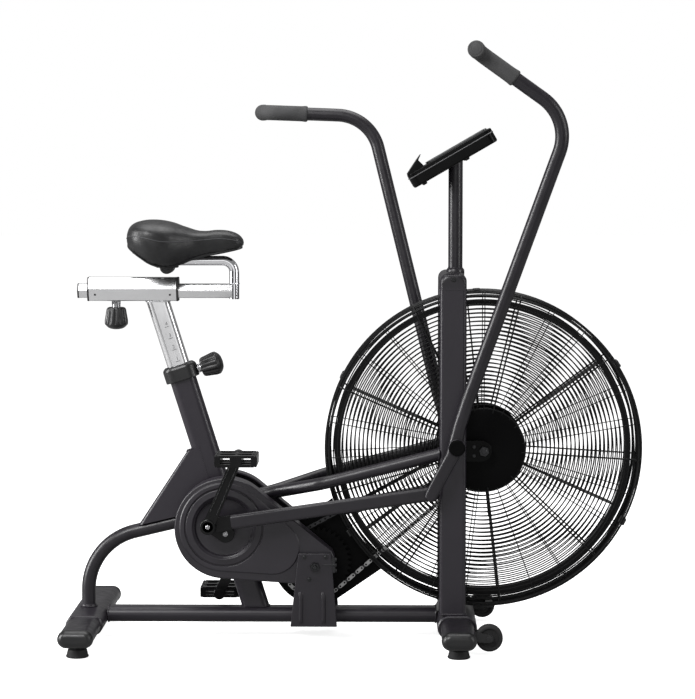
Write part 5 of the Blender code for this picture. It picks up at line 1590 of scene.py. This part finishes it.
def inflate(obj, pinned, pressure, cap):
    """Swell a closed cover as cloth under pressure, holding the points that pinned names."""
    remesh = obj.modifiers.new("even", "REMESH")
    remesh.mode = "VOXEL"
    remesh.voxel_size = 0.0035
    depsgraph = bpy.context.evaluated_depsgraph_get()
    mesh = bpy.data.meshes.new_from_object(obj.evaluated_get(depsgraph))
    surface = obj.data.materials[0]
    obj.modifiers.clear()
    obj.data = mesh
    mesh.materials.clear()
    mesh.materials.append(surface)
    rest = [v.co.copy() for v in mesh.vertices]
    group = obj.vertex_groups.new(name="held")
    group.add([i for i, co in enumerate(rest) if pinned(co)], 1.0, "REPLACE")
    cloth = obj.modifiers.new("cloth", "CLOTH")
    cloth.settings.quality = 6
    cloth.settings.use_pressure = True
    cloth.settings.uniform_pressure_force = pressure
    cloth.settings.tension_stiffness = 25
    cloth.settings.bending_stiffness = 2.0
    cloth.settings.vertex_group_mass = "held"
    cloth.settings.effector_weights.gravity = 0.0
    scene = bpy.context.scene
    for number in range(1, 21):
        scene.frame_set(number)
    evaluated = obj.evaluated_get(bpy.context.evaluated_depsgraph_get())
    moved = [v.co.copy() for v in evaluated.data.vertices]
    obj.modifiers.clear()
    for vertex, start, end in zip(mesh.vertices, rest, moved):
        shift = end - start
        if shift.length > cap:
            shift *= cap / shift.length
        vertex.co = start + shift
    scene.frame_set(1)
    mesh.shade_smooth()
    smooth = obj.modifiers.new("ease", "SMOOTH")
    smooth.factor = 0.5
    smooth.iterations = 4
    finer = obj.modifiers.new("finer", "SUBSURF")
    finer.levels = 1
    finer.render_levels = 1


def seam_and_hem(x):
    """The heights of the seam and the hem at x along the saddle."""
    x = min(max(x, SADDLE_STATIONS[0][0]), SADDLE_STATIONS[-1][0])
    behind, ahead = next(pair for pair in zip(SADDLE_STATIONS, SADDLE_STATIONS[1:])
                         if x <= pair[1][0])
    return [behind[k] + (ahead[k] - behind[k]) * (x - behind[0]) / (ahead[0] - behind[0])
            for k in (3, 4)]


def held_by_saddle(point):
    """True along the stitched seam and below the hem, where the base holds the cover."""
    seam, hem = seam_and_hem(point.x)
    near_seam = abs(point.z - seam) < 0.0022 and abs(point.y) > 0.01
    return near_seam or point.z < hem + 0.006


def build_saddle():
    """The padded cover, lightly inflated as cloth, over a moulded base with a piped seam."""
    last = len(SADDLE_STATIONS) - 1
    rings = [saddle_section(last * k / 64) for k in range(65)]
    bm = bmesh.new()
    loft(bm, rings)
    cover = piece("saddle_cover", bm, LEATHER, "saddle", ["saddle"], sharp=70,
                  flat=False)
    inflate(cover, held_by_saddle, 4.0, 0.003)
    bm = bmesh.new()
    for sign in (-1, 1):
        seam = []
        for k in range(4, 120):
            x, half, _, z, _ = saddle_station(last * k / 124)
            seam.append(Vector((x, sign * (half * 0.97 + 0.0002), z)))
        tube(bm, seam, 0.001, 8, UP)
    piece("saddle_piping", bm, THREAD, "saddle")
    bm = bmesh.new()
    rings = []
    for k in range(49):
        x, half, _, _, hem = saddle_station(last * (0.06 + 0.88 * k / 48))
        y = half * 0.79
        rings.append([Vector((x, yy, zz)) for yy, zz in
                      ((-y, hem - 0.0012), (y, hem - 0.0012), (y * 1.03, hem + 0.0016),
                       (y * 0.94, hem + 0.006), (-y * 0.94, hem + 0.006),
                       (-y * 1.03, hem + 0.0016))])
    loft(bm, rings)
    piece("saddle_base", bm, TRIM, "saddle")


# ---------------------------------------------------------------- stage, light and camera

def dress_hidden_nodes():
    """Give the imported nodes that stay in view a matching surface."""
    for name in ("crank_axle", "crank_bearing"):
        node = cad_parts[name]
        node.data.materials.clear()
        node.data.materials.append(DARK_METAL if name == "crank_axle" else BOLT_METAL)


def stage_floor():
    """Pale paper that bounces less light than it shows, as a sweep further off would."""
    material = bpy.data.materials.new("floor_paper")
    material.use_nodes = True
    tree = material.node_tree
    shown = tree.nodes["Principled BSDF"]
    shown.inputs["Base Color"].default_value = (0.8, 0.8, 0.8, 1.0)
    shown.inputs["Roughness"].default_value = 0.9
    shown.inputs["Emission Color"].default_value = (1.0, 1.0, 1.0, 1.0)
    shown.inputs["Emission Strength"].default_value = 0.8
    bounced = tree.nodes.new("ShaderNodeBsdfDiffuse")
    bounced.inputs["Color"].default_value = (0.34, 0.34, 0.34, 1.0)
    seen = tree.nodes.new("ShaderNodeLightPath")
    mix = tree.nodes.new("ShaderNodeMixShader")
    tree.links.new(seen.outputs["Is Camera Ray"], mix.inputs["Fac"])
    tree.links.new(bounced.outputs["BSDF"], mix.inputs[1])
    tree.links.new(shown.outputs["BSDF"], mix.inputs[2])
    tree.links.new(mix.outputs["Shader"], tree.nodes["Material Output"].inputs["Surface"])
    mesh = bpy.data.meshes.new("floor")
    reach = 30.0
    mesh.from_pydata([(x * reach, y * reach, 0.0)
                      for x, y in ((-1, -1), (1, -1), (1, 1), (-1, 1))], [], [(0, 1, 2, 3)])
    mesh.materials.append(material)
    floor = bpy.data.objects.new("floor", mesh)
    bpy.context.scene.collection.objects.link(floor)


def aimed(data, place, target):
    """An object of the given data at place, looking at target."""
    obj = bpy.data.objects.new(data.name, data)
    obj.location = place
    direction = Vector(target) - Vector(place)
    obj.rotation_euler = direction.to_track_quat("-Z", "Y").to_euler()
    bpy.context.scene.collection.objects.link(obj)
    return obj


def area_light(name, place, target, size, power):
    """A rectangular soft box of a size in metres and a power in watts."""
    light = bpy.data.lights.new(name, "AREA")
    light.shape = "RECTANGLE"
    light.size, light.size_y = size
    light.energy = power
    aimed(light, place, target)


def light_stage():
    """White surroundings, dimmer as a light than as a backdrop, and five soft boxes."""
    world = bpy.data.worlds.new("studio")
    bpy.context.scene.world = world
    world.use_nodes = True
    tree = world.node_tree
    background = tree.nodes["Background"]
    background.inputs["Color"].default_value = (1.0, 1.0, 1.0, 1.0)
    seen = tree.nodes.new("ShaderNodeLightPath").outputs["Is Camera Ray"]
    spread_value(tree, seen, 0.28, 1.0, background.inputs["Strength"], 0.0, 1.0)
    area_light("key", (-1.95, -3.4, 3.6), (-0.2, 0, 0.7), (1.9, 1.7), 165)
    area_light("side", (-4.2, -0.9, 1.6), (-0.1, 0, 0.6), (0.9, 2.8), 190)
    area_light("top", (0.0, 0.6, 4.4), (0, 0, 0.5), (3.4, 3.4), 130)
    area_light("front", (0.07, -6.8, 1.22), (0.07, 0, 1.22), (3.6, 2.36), 24)
    area_light("fill", (3.6, -1.6, 1.8), (0.1, 0, 0.6), (0.7, 2.6), 45)
    bpy.context.scene.view_settings.view_transform = "Standard"


def aim_camera():
    """The camera at the viewing angle, with a long lens."""
    camera = bpy.data.cameras.new("camera")
    camera.lens = 124.1
    camera.sensor_width = 36.0
    camera.clip_end = 60.0
    bpy.context.scene.camera = aimed(camera, (0.0673, -5.4, 1.07), (-0.0171, 0.0, 0.652))


def build():
    """Every piece, from the base up."""
    build_stabilizers()
    build_base_tube()
    build_seat_tube()
    build_rear_arch()
    build_bridge()
    build_mast()
    build_console()
    build_guard_clips()
    build_fan()
    build_fan_axle()
    build_chain("first_chain", (CRANK, RING_RADIUS), (JACK, JACK_FIRST_RADIUS),
                FIRST_CHAIN_Y, "primary_chain")
    build_chain("second_chain", (JACK, JACK_SECOND_RADIUS), (FAN, FAN_SPROCKET_RADIUS),
                SECOND_CHAIN_Y, "secondary_chain")
    build_jackshaft()
    build_chainring()
    build_tensioner()
    build_chain_guard()
    for side in SIDES:
        for part in (build_wheel, build_side_tube, build_upright, build_guard, build_chain_cover,
                     build_jack_bracket, build_cranks, build_pedal, build_link, build_handle):
            part(side)
    build_post()
    build_collar()
    build_knob("post_knob", on_seat_axis(0.004), SEAT_FORWARD, 0.0395, 0.008, 0.0267,
               "post_knob")
    build_knob("slide_knob", at((-0.537, SLIDE_Z)), -UP, 0.0269, 0.014, 0.0212, "slide_knob")
    build_slide()
    build_saddle_slide()
    build_clamp()
    build_saddle()
    dress_hidden_nodes()


aim_camera()
build()
stage_floor()
light_stage()
